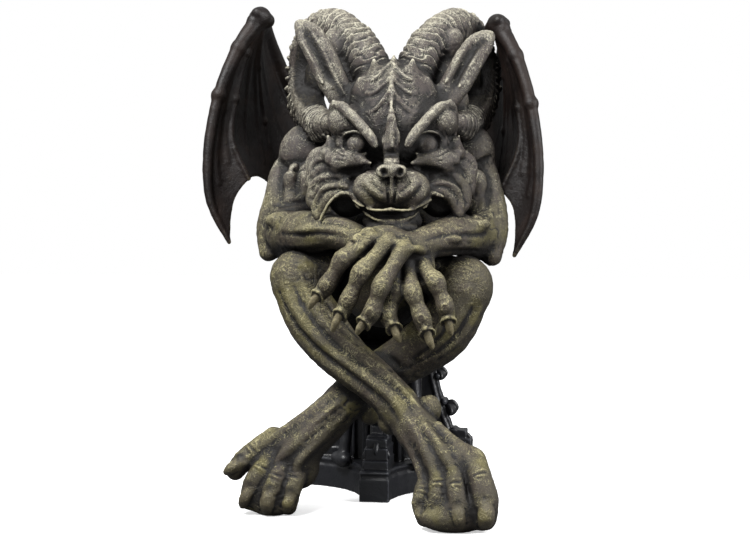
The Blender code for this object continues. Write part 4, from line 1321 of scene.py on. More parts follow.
# %% One wing
def sculpt_wing(side):
    corners = sorted((side * 12 + WING_DRIFT, side * 122 + WING_DRIFT))
    clay = Clay((corners[0], -78, 158), (corners[1], 54, 338), 0.62 * FINENESS)
    fingers, arm = wing_lines(side)
    bones = fingers + [arm[:4]]
    for near, far in zip(bones, bones[1:]):
        sheet = membrane(clay, near, far, 1.4)
        for share in (9, 21):
            line = sheet[2:52:6, share]
            thick = np.linspace(1.9, 1.0, len(line))
            clay.roll([(*place, size) for place, size in zip(line, thick)], blend=3)
    for finger, sizes in zip(fingers, FINGER_SIZES):
        clay.roll([(*place, size) for place, size in zip(finger, sizes)], blend=1.6)
    clay.roll([(*place, size) for place, size in zip(arm, ARM_SIZES)], blend=3)
    knuckle = wing_place(side, KNUCKLE)
    for shift, size in (((0, 0, 0), 6.4), ((4, -4, -3), 5.0), ((-4, 3, -2), 5.2), ((1, -5, 2), 4.2),
        ((5, 2, 1), 3.6)):
        clay.lump(knuckle + (side * shift[0], shift[1], shift[2]), (size, size, size), blend=1.4)
    for finger in fingers:
        for share in (1, 2):
            clay.lump(finger[share], (5.2, 5.2, 5.2) if finger is fingers[0] else (3.2, 3.2, 3.2), blend=1.6)
    weather(clay, wing_relief)
    place, out = wing_seat(side)
    part, points = clay.window(place - 30, place + 30)
    beyond = sum((points[i] - float(place[i])) * float(out[i]) for i in range(3))
    clay.field[part] = np.maximum(clay.field[part], 0.15 - beyond)
    return clay


def wing_relief(places):
    return 0.15 * noise(places, 7.0, 1.1) + 0.10 * noise(places, 2.6, 4.4)


wings = []
for side, name in ((-1, "left_wing"), (1, "right_wing")):
    wing_clay = sculpt_wing(side)
    share_nearby(wing_clay)
    piece = cast(wing_clay, "bat_wing_left" if side < 0 else "bat_wing_right", 90000)
    measure(wing_clay, piece)
    wings.append((piece, name))

# %% [markdown]
# ## The Gothic pedestal
#
# The pedestal is cast as one too: a plate shaped like a star, four buttresses with leaf crockets, tracery
# arches on a core, bones that stand between them and a cap. All of it is laid out for one quarter and
# turned three times.

# %% Plans and prisms
REACH = 68.0
ARM_HALF = 10.0
WAIST = 26.0
CAP_FOOT = 93.0
RIB_FOOT = 56.0
RIB_NECK = 34.0


def star_plan(reach, half, waist, steps=8):
    """Four square-ended arms with a round hollow between each two."""
    centre = (half**2 + reach**2 - 2 * waist**2) / (2 * (half + reach) - 4 * waist)
    radius = math.hypot(reach - centre, half - centre)
    first = math.atan2(half - centre, reach - centre) % (2 * math.pi)
    last = math.pi * 2.5 - first
    turns = first + (last - first) * np.arange(steps + 1) / steps
    arc = np.stack([centre + radius * np.cos(turns), centre + radius * np.sin(turns)], axis=1)
    return np.concatenate([arc @ np.array([[c, s], [-s, c]]) for c, s in ((1, 0), (0, 1), (-1, 0), (0, -1))])


def regular_plan(radius, sides):
    turns = 2 * np.pi * (np.arange(sides) + 0.5) / sides
    outer = radius / math.cos(math.pi / sides)
    return np.stack([outer * np.cos(turns), outer * np.sin(turns)], axis=1)


def stack(clay, layers, blend=0.6):
    """A closed solid through plans with the same number of corners, at rising heights."""
    count = len(layers[0][0])
    points = np.concatenate([np.column_stack([plan, np.full(count, z)]) for plan, z in layers])
    corners = np.arange(count)
    quads = []
    for level in range(len(layers) - 1):
        low, high = corners + level * count, corners + (level + 1) * count
        quads.append(np.stack([low, np.roll(low, -1), np.roll(high, -1), high], axis=1))
    for level, flip in ((0, True), (len(layers) - 1, False)):
        middle = len(points)
        points = np.vstack([points, [*layers[level][0].mean(0), layers[level][1]]])
        ring = corners + level * count
        after = np.roll(ring, -1)
        mids = np.arange(len(points), len(points) + count)
        points = np.vstack([points, (points[ring] + points[middle]) / 2])
        before = np.roll(mids, -1)
        fan = np.stack([ring, after, before, mids], axis=1)
        inner = np.stack([mids[::2], mids[1::2], before[1::2], np.full(count // 2, middle)], axis=1)
        faces = np.concatenate([fan, inner])
        quads.append(faces[:, ::-1] if flip else faces)
    join_solid(clay, points, np.concatenate(quads), blend)


def turned(stations, quarter):
    c, s = ((1, 0), (0, 1), (-1, 0), (0, -1))[quarter]
    return [(row[0] * c - row[1] * s, row[0] * s + row[1] * c, *row[2:]) for row in stations]


print(f"the star plate reaches {REACH * UNIT * 1000:.1f} mm from the middle")

# %% Plate, core and cap
def plate(clay):
    profile = ((0.0, 0.3), (0.0, 15.0), (1.2, 16.4), (1.2, 18.0), (0.0, 19.2), (0.6, 20.6), (1.6, 21.0))
    stack(clay, [(star_plan(REACH - inset, ARM_HALF - inset * 0.8, WAIST - inset * 0.6), z)
            for inset, z in profile])


def core_and_cap(clay):
    stack(clay, [(regular_plan(24, 8), 15), (regular_plan(24, 8), 100)])
    profile = ((34.5, CAP_FOOT - 5), (35.5, CAP_FOOT - 2), (38.2, CAP_FOOT), (39, CAP_FOOT + 1.5),
        (39, CAP_FOOT + 7), (37.6, CAP_FOOT + 9), (36, 103.9))
    stack(clay, [(regular_plan(radius, 8), z) for radius, z in profile])


# %% [markdown]
# ### Buttresses, arches and bones
#
# Between the plate and the cap stand four buttresses that curve inwards, blind arches on the core, and a
# bone in each corner. A buttress is a stack of plans, which keeps it crisp, and arches and bones are rolls.

# %% Buttresses, tracery and bones
def rib_edge(share):
    return RIB_NECK + (RIB_FOOT - RIB_NECK) * (1 - share) ** 1.6, GRID_PLATE + (CAP_FOOT
        - GRID_PLATE) * share


def buttress(clay, quarter):
    shares = np.linspace(0, 1, 9)
    for first, last in zip(shares, shares[1:]):
        outer, bottom = rib_edge(first)
        inner, top = rib_edge(last)
        half = 5.0
        corners = [[(10, -half), (outer, -half), (outer, half), (10, half)],
            [(10, -half), (inner, -half), (inner, half), (10, half)]]
        layers = [(np.array([row[:2] for row in turned(plan, quarter)]), z)
            for plan, z in zip(corners, (bottom - 1.5, top + 0.5))]
        stack(clay, layers, blend=0.4)
    for share, size in ((0.02, 3.2), (0.27, 2.4), (0.55, 2.2), (0.8, 2.0)):
        reach, z = rib_edge(share)
        clay.roll(turned([(reach + 0.5, -5.5, z, size), (reach + 1.0, 0, z + 0.4, size),
                    (reach + 0.5, 5.5, z, size)], quarter), blend=0.8)
    for lateral in (-5.2, 5.2):
        edge = [(rib_edge(s)[0] - 4.5, lateral, rib_edge(s)[1] + 2, 1.3)
            for s in (0.0, 0.25, 0.5, 0.75, 0.98)]
        clay.roll(turned(edge, quarter), blend=0.6)


def arch(clay, quarter):
    """A pointed arch of two tubes, on the core's flat side between two buttresses."""
    for mirror in (-1, 1):
        for offset, size in ((0.0, 1.9), (3.4, 1.2)):
            wide = 9.5 - offset
            line = [(25.5, mirror * wide, 22, size), (25.5, mirror * wide, 52, size),
                (25.5, mirror * wide * 0.86, 62, size), (25.5, mirror * wide * 0.5, 72 - offset, size),
                (25.5, 0, 80 - 1.6 * offset, size)]
            c, s = math.cos(math.pi / 4), math.sin(math.pi / 4)
            diagonal = [(x * c - y * s, x * s + y * c, z, r) for x, y, z, r in line]
            clay.roll(turned(diagonal, quarter), blend=0.6)


def bone(clay, quarter):
    c = math.cos(math.pi / 4)
    at = 29.5 * c
    column = [(at + 7, at + 7, 22, 5.6), (at + 6, at + 6, 29, 4.2), (at + 3, at + 3, 55, 3.8),
        (at, at, 80, 4.4), (at, at, 90, 6)]
    for shift in (-3.2, 3.2):
        clay.lump(turned([(at + 8 + shift, at + 8 - shift, 23)], quarter)[0], (4.6, 4.6, 4.2), blend=1.2)
        clay.lump(turned([(at + shift * 0.8, at - shift * 0.8, 88)], quarter)[0], (4.2, 4.2, 4.2), blend=1.2)
    clay.roll(turned(column, quarter), blend=1.5)


def front_steps(clay, quarter):
    """Rolled blocks that climb from the end of each arm to its buttress."""
    for reach, half, bottom, top in ((63, 8.6, 20, 27), (60, 8.0, 26, 35), (56.5, 7.0, 34, 41)):
        corners = np.array(turned([(30, -half), (reach, -half), (reach, half), (30, half)], quarter))
        stack(clay, [(corners, bottom), (corners, top)], blend=1.2)


def pedestal_relief(places):
    return 0.10 * noise(places, 6.0, 2.2) + 0.12 * noise(places, 2.4, 8.8)


def sculpt_pedestal():
    clay = Clay((-72, -72, -3), (72, 72, 108), 0.7 * FINENESS)
    plate(clay)
    core_and_cap(clay)
    for quarter in range(4):
        buttress(clay, quarter)
        front_steps(clay, quarter)
        arch(clay, quarter)
        bone(clay, quarter)
    weather(clay, pedestal_relief, reach=1.5)
    saw_off(clay, 0.0)
    saw_off(clay, GRID_SEAT, above=True)
    return clay


pedestal_clay = sculpt_pedestal()
share_nearby(pedestal_clay)
pedestal = cast(pedestal_clay, "pedestal", 120000)
measure(pedestal_clay, pedestal)

# %% [markdown]
# ## Paint: a dark wash and a dry brush
#
# The castings are painted in three passes. A dark wash runs into every hollow and dries there. A middle
# colour is rubbed over what is left. Then an almost dry brush with a pale colour is dragged across, and
# touches only what stands up: wrinkles, knuckles, rims and claws.
#
# In the shader, the same three passes are masks, and painted light and shade are mixed in with them: the
# dark colour also goes into large hollows, between parts and on undersides as painted shade, and the pale
# one onto open forms and faces that turn up and to the front as a painted highlight. Numbers that are
# measured on the clay say where they go: how sharp the form is, how deep it lies in a small or a large
# hollow, how far it faces up and to the front, where more shade is painted, and where the claws are. The
# brush also leaves winding scratches, which are the zero lines of a wave on a slow random field, and fine
# noise breaks everything up, because no brush is even.

# %% Shader sums as Python sums
class Wire:
    """The output of a shader node, which can be used in Python sums."""

    def __init__(self, tree, output):
        self.tree = tree
        self.output = output

    def sum(self, operation, first, second=0.0, clamp=False):
        return Wire.node(self.tree, "ShaderNodeMath", {"operation": operation, "use_clamp": clamp},
            {0: first, 1: second})

    def __add__(self, other):
        return self.sum("ADD", self, other)

    def __sub__(self, other):
        return self.sum("SUBTRACT", self, other)

    def __rsub__(self, other):
        return self.sum("SUBTRACT", other, self)

    def __mul__(self, other):
        return self.sum("MULTIPLY", self, other)

    __radd__ = __add__
    __rmul__ = __mul__

    def __pow__(self, other):
        return self.sum("POWER", self, other)

    def clamp(self):
        return self.sum("ADD", self, 0.0, clamp=True)

    def sine(self):
        return self.sum("SINE", self)

    def step(self, low, high):
        """0 below low, 1 above high, and smooth between them."""
        values = {"Value": self, "From Min": low, "From Max": high}
        return Wire.node(self.tree, "ShaderNodeMapRange", {"interpolation_type": "SMOOTHSTEP"}, values)

    @staticmethod
    def node(tree, kind, settings=None, values=None, output=0):
        """Makes a node: its settings first, then the values or links of its sockets."""
        made = tree.nodes.new(kind)
        for name, value in (settings or {}).items():
            setattr(made, name, value)
        for name, value in (values or {}).items():
            if isinstance(value, Wire):
                tree.links.new(value.output, made.inputs[name])
            else:
                made.inputs[name].default_value = value
        return Wire(tree, made.outputs[output])


def paint(red, green, blue):
    """A paint by its screen numbers from 0 to 255, as the shader's linear colour."""
    linear = [c / 255 / 12.92 if c <= 10 else ((c / 255 + 0.055) / 1.055) ** 2.4 for c in (red, green, blue)]
    return (*linear, 1.0)


def brushed(tree, share, under, over):
    """One paint over another, by a share from 0 to 1."""
    return Wire.node(tree, "ShaderNodeMix", {"data_type": "RGBA"}, {0: share, 6: under, 7: over}, output=2)


def cloudy(tree, place, scale, detail=2.0, twist=0.0):
    """A random field from 0 to 1; the scale is in lumps a metre."""
    return Wire.node(tree, "ShaderNodeTexNoise", {},
        {"Vector": place, "Scale": scale, "Detail": detail, "Distortion": twist})


def measured(tree, name):
    """A number that was measured on the clay and kept at each point."""
    return Wire.node(tree, "ShaderNodeAttribute", {"attribute_name": name}, {}, output=2)


def new_finish(name, specular=0.4):
    material = bpy.data.materials.new(name)
    material.use_nodes = True
    shader = material.node_tree.nodes["Principled BSDF"]
    shader.inputs["Specular IOR Level"].default_value = specular
    return material, material.node_tree, shader


def wear(tree, shader, colour, roughness, height, depth):
    """Connects a finish; the height is in shares of the depth, which is in metres."""
    bump = Wire.node(tree, "ShaderNodeBump", {}, {"Strength": 1.0, "Distance": depth, "Height": height})
    tree.links.new(colour.output, shader.inputs["Base Color"])
    tree.links.new(roughness.output, shader.inputs["Roughness"])
    tree.links.new(bump.output, shader.inputs["Normal"])


# %% The skin of the figure
# The darkest paint is the real wash and also painted shade; the two pale paints are the dry brush and also a
# painted highlight.
SKIN = {
    "wash_and_shade": paint(13, 10, 8),
    "face": paint(64, 59, 56),
    "limb": paint(60, 55, 42),
    "violet": paint(50, 40, 40),
    "moss": paint(92, 86, 44),
    "face_brush_and_highlight": paint(172, 168, 150),
    "limb_brush_and_highlight": paint(154, 147, 110),
    "claw": paint(140, 130, 100),
}


def antiqued_skin():
    material, tree, shader = new_finish("antiqued_resin_paint", 0.35)
    place = Wire.node(tree, "ShaderNodeTexCoord", {}, {}, output=3)
    height_up = Wire.node(tree, "ShaderNodeSeparateXYZ", {}, {0: place}, output=2)
    edge = measured(tree, "edge")
    hollow = measured(tree, "hollow")
    claw = measured(tree, "claw")
    shade = measured(tree, "shade")
    valley_shade = measured(tree, "valley_shade")
    facing_the_light = measured(tree, "facing_the_light")
    patch = cloudy(tree, place, 42.0, 3.0, 0.4)
    mottle = cloudy(tree, place, 950.0, 4.0, 0.6)
    speck = cloudy(tree, place, 2400.0, 2.0)
    winding = cloudy(tree, place, 70.0, 2.0, 0.5)
    lines = 1 - ((winding * 60.0).sine() * (winding * 60.0).sine()) ** 0.25
    curls = cloudy(tree, place, 210.0, 1.0, 1.0)
    hairs = 1 - ((curls * 26.0).sine() * (curls * 26.0).sine()) ** 0.25
    broken = cloudy(tree, place, 150.0, 3.0).step(0.38, 0.62)
    scratch = (lines * 0.8 + hairs * 0.65) * (0.25 + broken * 0.75)

    low_down = 1 - height_up.step(0.175, 0.235)
    body = brushed(tree, low_down, SKIN["face"], SKIN["limb"])
    body = brushed(tree, patch.step(0.47, 0.62) * 0.45, body, SKIN["violet"])
    body = brushed(tree, (1 - patch).step(0.52, 0.66) * (0.08 + low_down * 0.42), body, SKIN["moss"])
    # Hollows and creases take the dark wash, and also painted shade.
    deep = hollow.step(0.42, 0.60) + (0.0 - edge).step(0.0, 0.05) * 0.9
    grain = (1 - mottle).step(0.42, 0.65) * 0.14 + (1 - speck).step(0.42, 0.7) * 0.14
    # Painted shade on undersides, which face away from the painted light.
    below = (1 - facing_the_light).step(0.35, 0.80) * 0.7
    # The dark colour goes where the wash lies and where shade is painted: large hollows, undersides and shade
    # lines.
    wash_and_shade_share = (deep + shade + grain + below + valley_shade.step(0.44, 0.66) * 0.9).clamp()
    washed_and_shaded = brushed(tree, wash_and_shade_share, body, SKIN["wash_and_shade"])
    brush_and_highlight = brushed(tree, low_down, SKIN["face_brush_and_highlight"], SKIN["limb_brush_and_highlight"])
    # The pale colour is the real dry brush on edges and scratches, and also a painted highlight on open forms
    # away from large hollows and on faces turned up and to the front; it stays off hollows and shade lines.
    open_light = 1 - valley_shade.step(0.22, 0.56)
    at_the_feet = 1 - height_up.step(0.03, 0.09)
    raised = edge.step(0.02, 0.26) * 0.70 + scratch * 0.70 + open_light * (0.50 - patch * 0.35) + facing_the_light * 0.9
    raised = raised + (mottle - 0.5) * 0.7 + (speck - 0.5) * 0.9 - at_the_feet * 0.14 - 0.95
    brush_and_highlight_share = (raised * (1 - hollow.step(0.50, 0.74)) * (1 - shade)).step(0.05, 0.95)
    skin = brushed(tree, brush_and_highlight_share * 0.9, washed_and_shaded, brush_and_highlight)
    # Claws get less bone colour in hollows, where the wash and painted shade lie, and less low on the feet.
    nail = ((claw - deep * 0.5 + (mottle - 0.5) * 1.6) * (0.16 + height_up.step(0.05, 0.09) * 0.50)).clamp()
    skin = brushed(tree, nail * 0.8, skin, SKIN["claw"])
    rough = 0.60 + (mottle - 0.5) * 0.3 - claw * 0.12
    wear(tree, shader, skin, rough, scratch * 0.55 + speck * 0.4 + mottle * 0.6, 0.0006)
    return material


print("pots of paint for the skin:", ", ".join(SKIN))

# %% [markdown]
# ### Wings and pedestal
#
# The wings are nearly black, with a trace of rust, and a brush has only touched their bones. The pedestal
# is slate grey and a little glossier. Both are mixed in the same way as the skin, with fewer passes.

# %% The dark wings
WING_PAINT = {"wash_and_shade": paint(10, 7, 6), "leather": paint(18, 13, 12), "rust": paint(32, 22, 17),
    "brush": paint(120, 111, 88)}


def dark_wing():
    material, tree, shader = new_finish("dark_wing_paint", 0.25)
    place = Wire.node(tree, "ShaderNodeTexCoord", {}, {}, output=3)
    edge = measured(tree, "edge")
    hollow = measured(tree, "hollow")
    patch = cloudy(tree, place, 45.0, 3.0, 0.6)
    mottle = cloudy(tree, place, 420.0, 5.0, 0.6)
    speck = cloudy(tree, place, 2000.0, 2.0)
    leather = brushed(tree, patch.step(0.42, 0.68) * 0.7, WING_PAINT["leather"], WING_PAINT["rust"])
    # Hollows and creases get the dark colour: the wash, and also painted shade.
    washed_and_shaded = brushed(tree, (hollow.step(0.45, 0.75) * 0.8 + (0.0 - edge).step(0.0, 0.12) * 0.6).clamp(),
        leather, WING_PAINT["wash_and_shade"])
    raised = edge.step(0.02, 0.22) * 0.7 + (mottle - 0.5) * 1.2 + (speck - 0.5) * 0.6
    wing_skin = brushed(tree, raised.step(0.15, 1.1) * 0.75, washed_and_shaded, WING_PAINT["brush"])
    wear(tree, shader, wing_skin, 0.5 + (patch - 0.5) * 0.3, mottle * 0.6 + speck * 0.3, 0.0005)
    return material


# %% The slate pedestal
SLATE = {"wash_and_shade": paint(6, 6, 8), "stone": paint(22, 23, 27), "worn": paint(74, 76, 82)}


def slate_paint():
    material, tree, shader = new_finish("slate_resin_paint", 0.5)
    place = Wire.node(tree, "ShaderNodeTexCoord", {}, {}, output=3)
    edge = measured(tree, "edge")
    hollow = measured(tree, "hollow")
    patch = cloudy(tree, place, 60.0, 4.0, 0.3)
    speck = cloudy(tree, place, 700.0, 3.0)
    # Hollows and creases get the dark colour: the wash, and also painted shade.
    stone = brushed(tree, (hollow.step(0.5, 0.8) * 0.8 + (0.0 - edge).step(0.0, 0.12) * 0.6).clamp(),
        SLATE["stone"], SLATE["wash_and_shade"])
    raised = edge.step(0.03, 0.2) * 0.8 + (patch - 0.5) * 0.5 + (speck - 0.5) * 0.5
    stone = brushed(tree, raised.step(0.2, 1.0) * 0.6, stone, SLATE["worn"])
    wear(tree, shader, stone, 0.40 + (patch - 0.5) * 0.35, speck * 0.6 + patch * 0.5, 0.0003)
    return material


paints = {"antiqued_resin": antiqued_skin(), "dark_wing_resin": dark_wing(), "slate_resin": slate_paint()}
print("mixed:", ", ".join(paints))

# %% [markdown]
# ## Carvings that repeat
#
# Gothic crockets, the curled leaves that climb a rib, are all alike, and so are the knobs on a horn's keel.
# A carver makes one pattern and copies it. We do the same with Geometry Nodes: one tree sets copies of a
# pattern along a path, with a size that follows a number on the path.

# %% A path and a tree
def path_mesh(name, lines, numbers):
    """Open lines through places; numbers holds one list of values for each named number."""
    mesh = bpy.data.meshes.new(name)
    starts = np.cumsum([0] + [len(line) for line in lines])
    edges = [(start + k, start + k + 1) for start, line in zip(starts, lines) for k in range(len(line) - 1)]
    mesh.from_pydata([tuple(place) for line in lines for place in line], edges, [])
    for label, values in numbers.items():
        put_numbers(mesh, label, values)
    return mesh


def copies_tree(name, count, pattern, material):
    """A tree that sets copies of a pattern along each line of a path."""
    tree = bpy.data.node_groups.new(name, "GeometryNodeTree")
    tree.interface.new_socket("Path", in_out="INPUT", socket_type="NodeSocketGeometry")
    for label, kind, value in (("Count", "NodeSocketInt", count), ("Size", "NodeSocketFloat", 1.0),
        ("Uneven", "NodeSocketFloat", 0.1)):
        tree.interface.new_socket(label, in_out="INPUT", socket_type=kind).default_value = value
    tree.interface.new_socket("Carving", in_out="OUTPUT", socket_type="NodeSocketGeometry")
    given = tree.nodes.new("NodeGroupInput").outputs
    path = Wire.node(tree, "GeometryNodeMeshToCurve", {}, {"Mesh": Wire(tree, given["Path"])})
    spots = Wire.node(tree, "GeometryNodeResampleCurve", {"mode": "COUNT"},
        {"Curve": path, "Count": Wire(tree, given["Count"])})
    turns = [Wire.node(tree, "GeometryNodeInputNamedAttribute", {"data_type": "FLOAT"}, {"Name": label})
        for label in ("pitch", "yaw", "shrink")]
    turn = Wire.node(tree, "ShaderNodeCombineXYZ", {}, {"Y": turns[0], "Z": turns[1]})
    chance = Wire.node(tree, "FunctionNodeRandomValue", {"data_type": "FLOAT"}, {2: -1.0, 3: 1.0, 8: 5},
        output=1)
    size = turns[2] * Wire(tree, given["Size"]) * (1 + chance * Wire(tree, given["Uneven"]))
    one = Wire.node(tree, "GeometryNodeObjectInfo", {}, {"Object": pattern}, output=4)
    copies = Wire.node(tree, "GeometryNodeInstanceOnPoints", {},
        {"Points": spots, "Instance": one, "Rotation": turn, "Scale": size})
    real = Wire.node(tree, "GeometryNodeRealizeInstances", {}, {"Geometry": copies})
    painted = Wire.node(tree, "GeometryNodeSetMaterial", {}, {"Geometry": real, "Material": material})
    tree.links.new(painted.output, tree.nodes.new("NodeGroupOutput").inputs[0])
    return tree


def set_copies(name, mesh, tree, sizes):
    """Runs the tree on a path and keeps the result as a plain mesh."""
    carrier = link(name + "_path", mesh)
    modifier = carrier.modifiers.new("Copies", "NODES")
    modifier.node_group = tree
    for item in tree.interface.items_tree:
        if item.name in sizes:
            modifier[item.identifier] = sizes[item.name]
    plain = evaluated_mesh(carrier)
    bpy.data.objects.remove(carrier)
    plain.name = name
    plain.shade_smooth()
    print(f"{name}: {len(plain.polygons)} triangles")
    return link(name, plain)


# %% One crocket, set along the four ribs
def sculpt_crocket():
    clay = Clay((-9, -13, -9), (13, 13, 12), 0.45 * FINENESS)
    clay.lump((2.7, 0, 0), (5.4, 7.0, 5.4), blend=1)
    clay.roll([(-0.3, 0, 5, 1.8), (4.7, 0, 6.5, 2.0), (8.2, 0, 2, 1.9), (6.1, 0, -2.5, 1.3)], blend=0.8)
    for lateral in (-1, 1):
        leaf = [(-0.3, 0, 1, 2.6), (2.7, lateral * 5, 2.5, 2.4), (4.7, lateral * 8.4, -1, 1.6),
            (3.2, lateral * 8, -3.5, 0.9)]
        clay.roll(leaf, blend=0.8)
    return clay


CROCKETS_ON_A_RIB = 3
crocket_clay = sculpt_crocket()
pattern = cast(crocket_clay, "crocket_pattern", 2600)
measure(crocket_clay, pattern)

rib_lines, rib_yaws, rib_shrinks = [], [], []
for quarter in range(4):
    shares = np.linspace(0.14, 0.807, 7)
    rib_lines.append(turned([(rib_edge(share)[0], 0, rib_edge(share)[1]) for share in shares], quarter))
    ahead = turned([(1, 0, 0)], quarter)[0]
    rib_yaws += [math.atan2(ahead[1], ahead[0])] * len(shares)
    rib_shrinks += list(1 - 0.35 * shares)
rib_paths = path_mesh("rib_paths",
    rib_lines, {"pitch": [0.0] * len(rib_yaws), "yaw": rib_yaws, "shrink": rib_shrinks})
crocket_tree = copies_tree("copies along a rib", CROCKETS_ON_A_RIB, pattern, paints["slate_resin"])
crockets = set_copies("pedestal_crockets", rib_paths, crocket_tree,
    {"Count": CROCKETS_ON_A_RIB, "Size": 1.0, "Uneven": 0.03})
bpy.data.objects.remove(pattern)

# %% [markdown]
# The horns' keels get flat knobs, one for each plate of horn. The path runs along the outer side of each
# coil, and each knob is turned to stand across it.

# %% Knobs along the keels of the horns
KNOBS_ON_A_HORN = 25


def keel_path(side):
    """Places on the outer side of a coil, how each knob is turned there, and how large it is."""
    line = smooth_line(face_line(side, HORN), 8)
    travel = np.concatenate([[0], np.cumsum(np.linalg.norm(np.diff(line[:, :3], axis=0), axis=1))])
    stops = np.linspace(56, 196, 60)
    middle = np.stack([np.interp(stops, travel, line[:, i]) for i in range(4)], axis=1)
    outward = (middle[:, :3] - np.array(face(side, *HORN_EYE))) * (1.0, 0.3, 1.0)
    outward /= np.linalg.norm(outward, axis=1, keepdims=True)
    places = middle[:, :3] + outward * (middle[:, 3:] - 0.6)
    ahead = np.gradient(places, axis=0)
    ahead /= np.linalg.norm(ahead, axis=1, keepdims=True)
    pitches = np.arccos(np.clip(ahead[:, 2], -1, 1))
    yaws = np.arctan2(ahead[:, 1], ahead[:, 0])
    return places, pitches, np.unwrap(yaws), np.interp(stops, [56, 80, 170, 196], [0.5, 1.0, 1.0, 0.6])


def sculpt_knob():
    clay = Clay((-6, -6, -5), (6, 6, 5), 0.4 * FINENESS)
    clay.lump((0, 0, 0), (3.3, 3.3, 1.5), blend=0.5)
    clay.lump((0, 0, 0.9), (2.2, 2.2, 1.4), blend=0.8)
    return clay


knob_clay = sculpt_knob()
pattern = cast(knob_clay, "knob_pattern", 700)
measure(knob_clay, pattern)
keels = [keel_path(side) for side in (-1, 1)]
keel_numbers = {label: np.concatenate([keel[k] for keel in keels])
    for k, label in ((1, "pitch"), (2, "yaw"), (3, "shrink"))}
keel_paths = path_mesh("keel_paths", [keel[0] for keel in keels], keel_numbers)
knob_tree = copies_tree("copies along a keel", KNOBS_ON_A_HORN, pattern, paints["antiqued_resin"])
knobs = set_copies("horn_knobs", keel_paths, knob_tree,
    {"Count": KNOBS_ON_A_HORN, "Size": 1.45, "Uneven": 0.16})
bpy.data.objects.remove(pattern)


# %% [markdown]
# ## Put the pieces on the frame
#
# Every casting now gets the numbers that its paint reads, is brought from the sculptor's grid to metres,
# and is tied to the frame's body and to the solid that it stands for. Two numbers are the share of solid
# stuff close by and further round, from all castings together, so that an arm also paints shade on the
# chest behind it. Another says how far a face turns up and to the front, where the painted light comes
# from, so that faces turned away get painted shade.

# %% Sizes and slots
figure_clays = (head_clay, body_clay, legs_clay)
claw_lines = [line for clay in figure_clays for line in clay.claws]
shade_lines = [line for clay in figure_clays for line in clay.shades]
# The way that painted light comes from: up and to the front; faces turned towards it get a painted highlight,
# faces turned away painted shade.
PAINTED_LIGHT_WAY = np.array((-0.2, -0.55, 0.81))
# Shares of solid round each point, near and far; where they are high the paint puts painted shade, as under
# the chin and between the arms.
nearby = blur(solid_nearby, 3)
far_around = blur(solid_nearby, 7)
figure_pieces = [(piece, "gargoyle_figure", "antiqued_resin")
    for piece in (gargoyle_head, gargoyle_body, gargoyle_legs)]
wing_pieces = [(piece, name, "dark_wing_resin") for piece, name in wings]
other_pieces = [
    (knobs, "gargoyle_figure", "antiqued_resin"),
    (crockets, "gothic_pedestal", "slate_resin"),
    (pedestal, "gothic_pedestal", "slate_resin"),
]
for piece, node, slot in figure_pieces + wing_pieces + other_pieces:
    places = read_points(piece.data)
    put_numbers(piece.data, "hollow", sample(nearby, COARSE_LOW, COARSE, places))
    put_numbers(piece.data, "valley_shade", sample(far_around, COARSE_LOW, COARSE, places))
    put_numbers(piece.data, "facing_the_light", 0.5 + 0.5 * read_normals(piece.data) @ PAINTED_LIGHT_WAY)
    paint_near(piece, "claw", claw_lines, 0.9)
    paint_near(piece, "shade", shade_lines, 2.2)
    bring_to_size(piece)
    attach(piece, "root")
    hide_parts(node)
    piece.data.materials.clear()
    piece.data.materials.append(paints[slot])

# %% Camera, light and floor
PICTURE_WIDTH_PX = 750
FOCAL_LENGTH_PX = 1517
AIM_OFF_CENTRE_PX = 13
SENSOR_MM = 36.0
CAMERA_PLACE = Vector((0.1496, -1.0645, 0.200))
CAMERA_YAW = math.radians(8.0) + math.atan(AIM_OFF_CENTRE_PX / FOCAL_LENGTH_PX)
CAMERA_PITCH = math.radians(-2.5)
level = math.cos(CAMERA_PITCH)
forward = Vector((-math.sin(CAMERA_YAW) * level, math.cos(CAMERA_YAW) * level, math.sin(CAMERA_PITCH)))
rightward = Vector((math.cos(CAMERA_YAW), math.sin(CAMERA_YAW), 0.0))
camera_top = rightward.cross(forward)
camera_data = bpy.data.cameras.new("camera")
camera_data.sensor_width = SENSOR_MM
camera_data.lens = SENSOR_MM * FOCAL_LENGTH_PX / PICTURE_WIDTH_PX
camera = link("camera", camera_data)
turn = Matrix((rightward, camera_top, -forward)).transposed().to_4x4()
turn.translation = CAMERA_PLACE
camera.matrix_world = turn
bpy.context.scene.camera = camera
print(f"the camera is {CAMERA_PLACE.length:.2f} m away, with a {camera_data.lens:.0f} mm lens")

# %% [markdown]
# ### Light
#
# The picture was taken on white paper with large soft lamps. A sky that is equally bright all round would
# make the paint look flat, so it fades downwards, and only the camera sees it white. Two square lamps add
# the soft light from the upper left and from the right. The paper is bright to the camera and dim to
# everything else, or it would light the chin and the undersides of the arms.

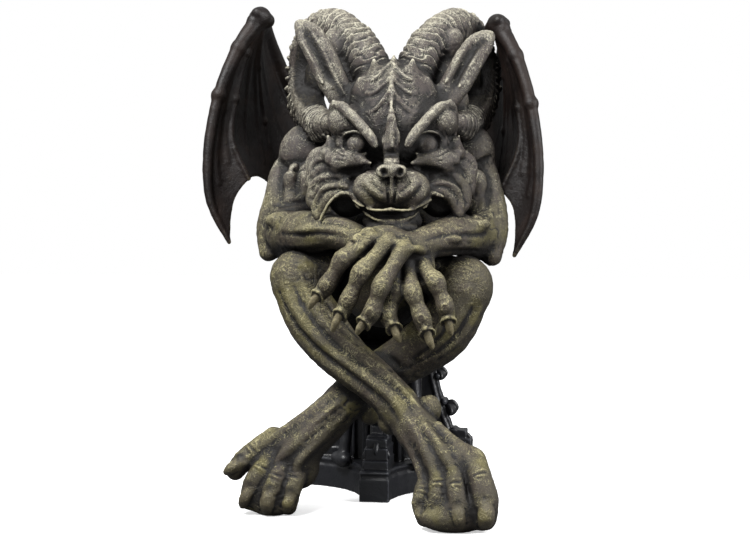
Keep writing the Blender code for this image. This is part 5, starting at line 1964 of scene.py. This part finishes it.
# %% The studio's sky
world = bpy.data.worlds.new("studio")
bpy.context.scene.world = world
world.use_nodes = True
sky = world.node_tree
SKY_SEEN, SKY_OVERHEAD, SKY_BELOW = 1.0, 0.75, 0.10
seen = Wire.node(sky, "ShaderNodeLightPath")
height = Wire.node(sky, "ShaderNodeSeparateXYZ", {}, {0: Wire.node(sky, "ShaderNodeTexCoord")}, output=2)
sky_light = ((height + 0.3) * 0.83).clamp() * (SKY_OVERHEAD - SKY_BELOW) + SKY_BELOW
strength = sky_light * (1 - seen) + seen * SKY_SEEN
sky.nodes["Background"].inputs["Color"].default_value = (1, 1, 1, 1)
sky.links.new(strength.output, sky.nodes["Background"].inputs["Strength"])
bpy.context.scene.view_settings.view_transform = "Standard"
print(f"the sky gives {SKY_OVERHEAD} from above and {SKY_BELOW} from below")


# %% Two soft boxes
def soft_box(name, place, aim, size, power):
    data = bpy.data.lights.new(name, "AREA")
    data.size = size
    data.energy = power
    lamp = link(name, data)
    lamp.location = place
    lamp.rotation_euler = (Vector(aim) - Vector(place)).to_track_quat("-Z", "Y").to_euler()


AIM = (0, -0.05, 0.2)
BOX_SIZE = 0.5
soft_box("key", (-0.35, -0.75, 1.1), AIM, BOX_SIZE, 30)
soft_box("side", (1.0, -0.35, 0.6), AIM, BOX_SIZE, 14)
print("two soft boxes of", BOX_SIZE, "m")

# %% The white paper
floor_bm = bmesh.new()
bmesh.ops.create_grid(floor_bm, x_segments=1, y_segments=1, size=3.0)
floor_mesh = bpy.data.meshes.new("floor")
floor_bm.to_mesh(floor_mesh)
floor_bm.free()
floor = link("floor", floor_mesh)
paper, paper_tree, paper_shader = new_finish("white_paper", 0.0)
paper_shader.inputs["Base Color"].default_value = (0.9, 0.9, 0.9, 1)
paper_shader.inputs["Emission Color"].default_value = (1, 1, 1, 1)
paper_shader.inputs["Emission Strength"].default_value = 0.5
dim = Wire.node(paper_tree, "ShaderNodeBsdfDiffuse", {}, {"Color": (0.12, 0.12, 0.12, 1)})
bright = Wire(paper_tree, paper_shader.outputs[0])
looked_at = Wire.node(paper_tree, "ShaderNodeLightPath")
sheet = Wire.node(paper_tree, "ShaderNodeMixShader", {}, {0: looked_at, 1: dim, 2: bright})
paper_tree.links.new(sheet.output, paper_tree.nodes["Material Output"].inputs[0])
floor_mesh.materials.append(paper)
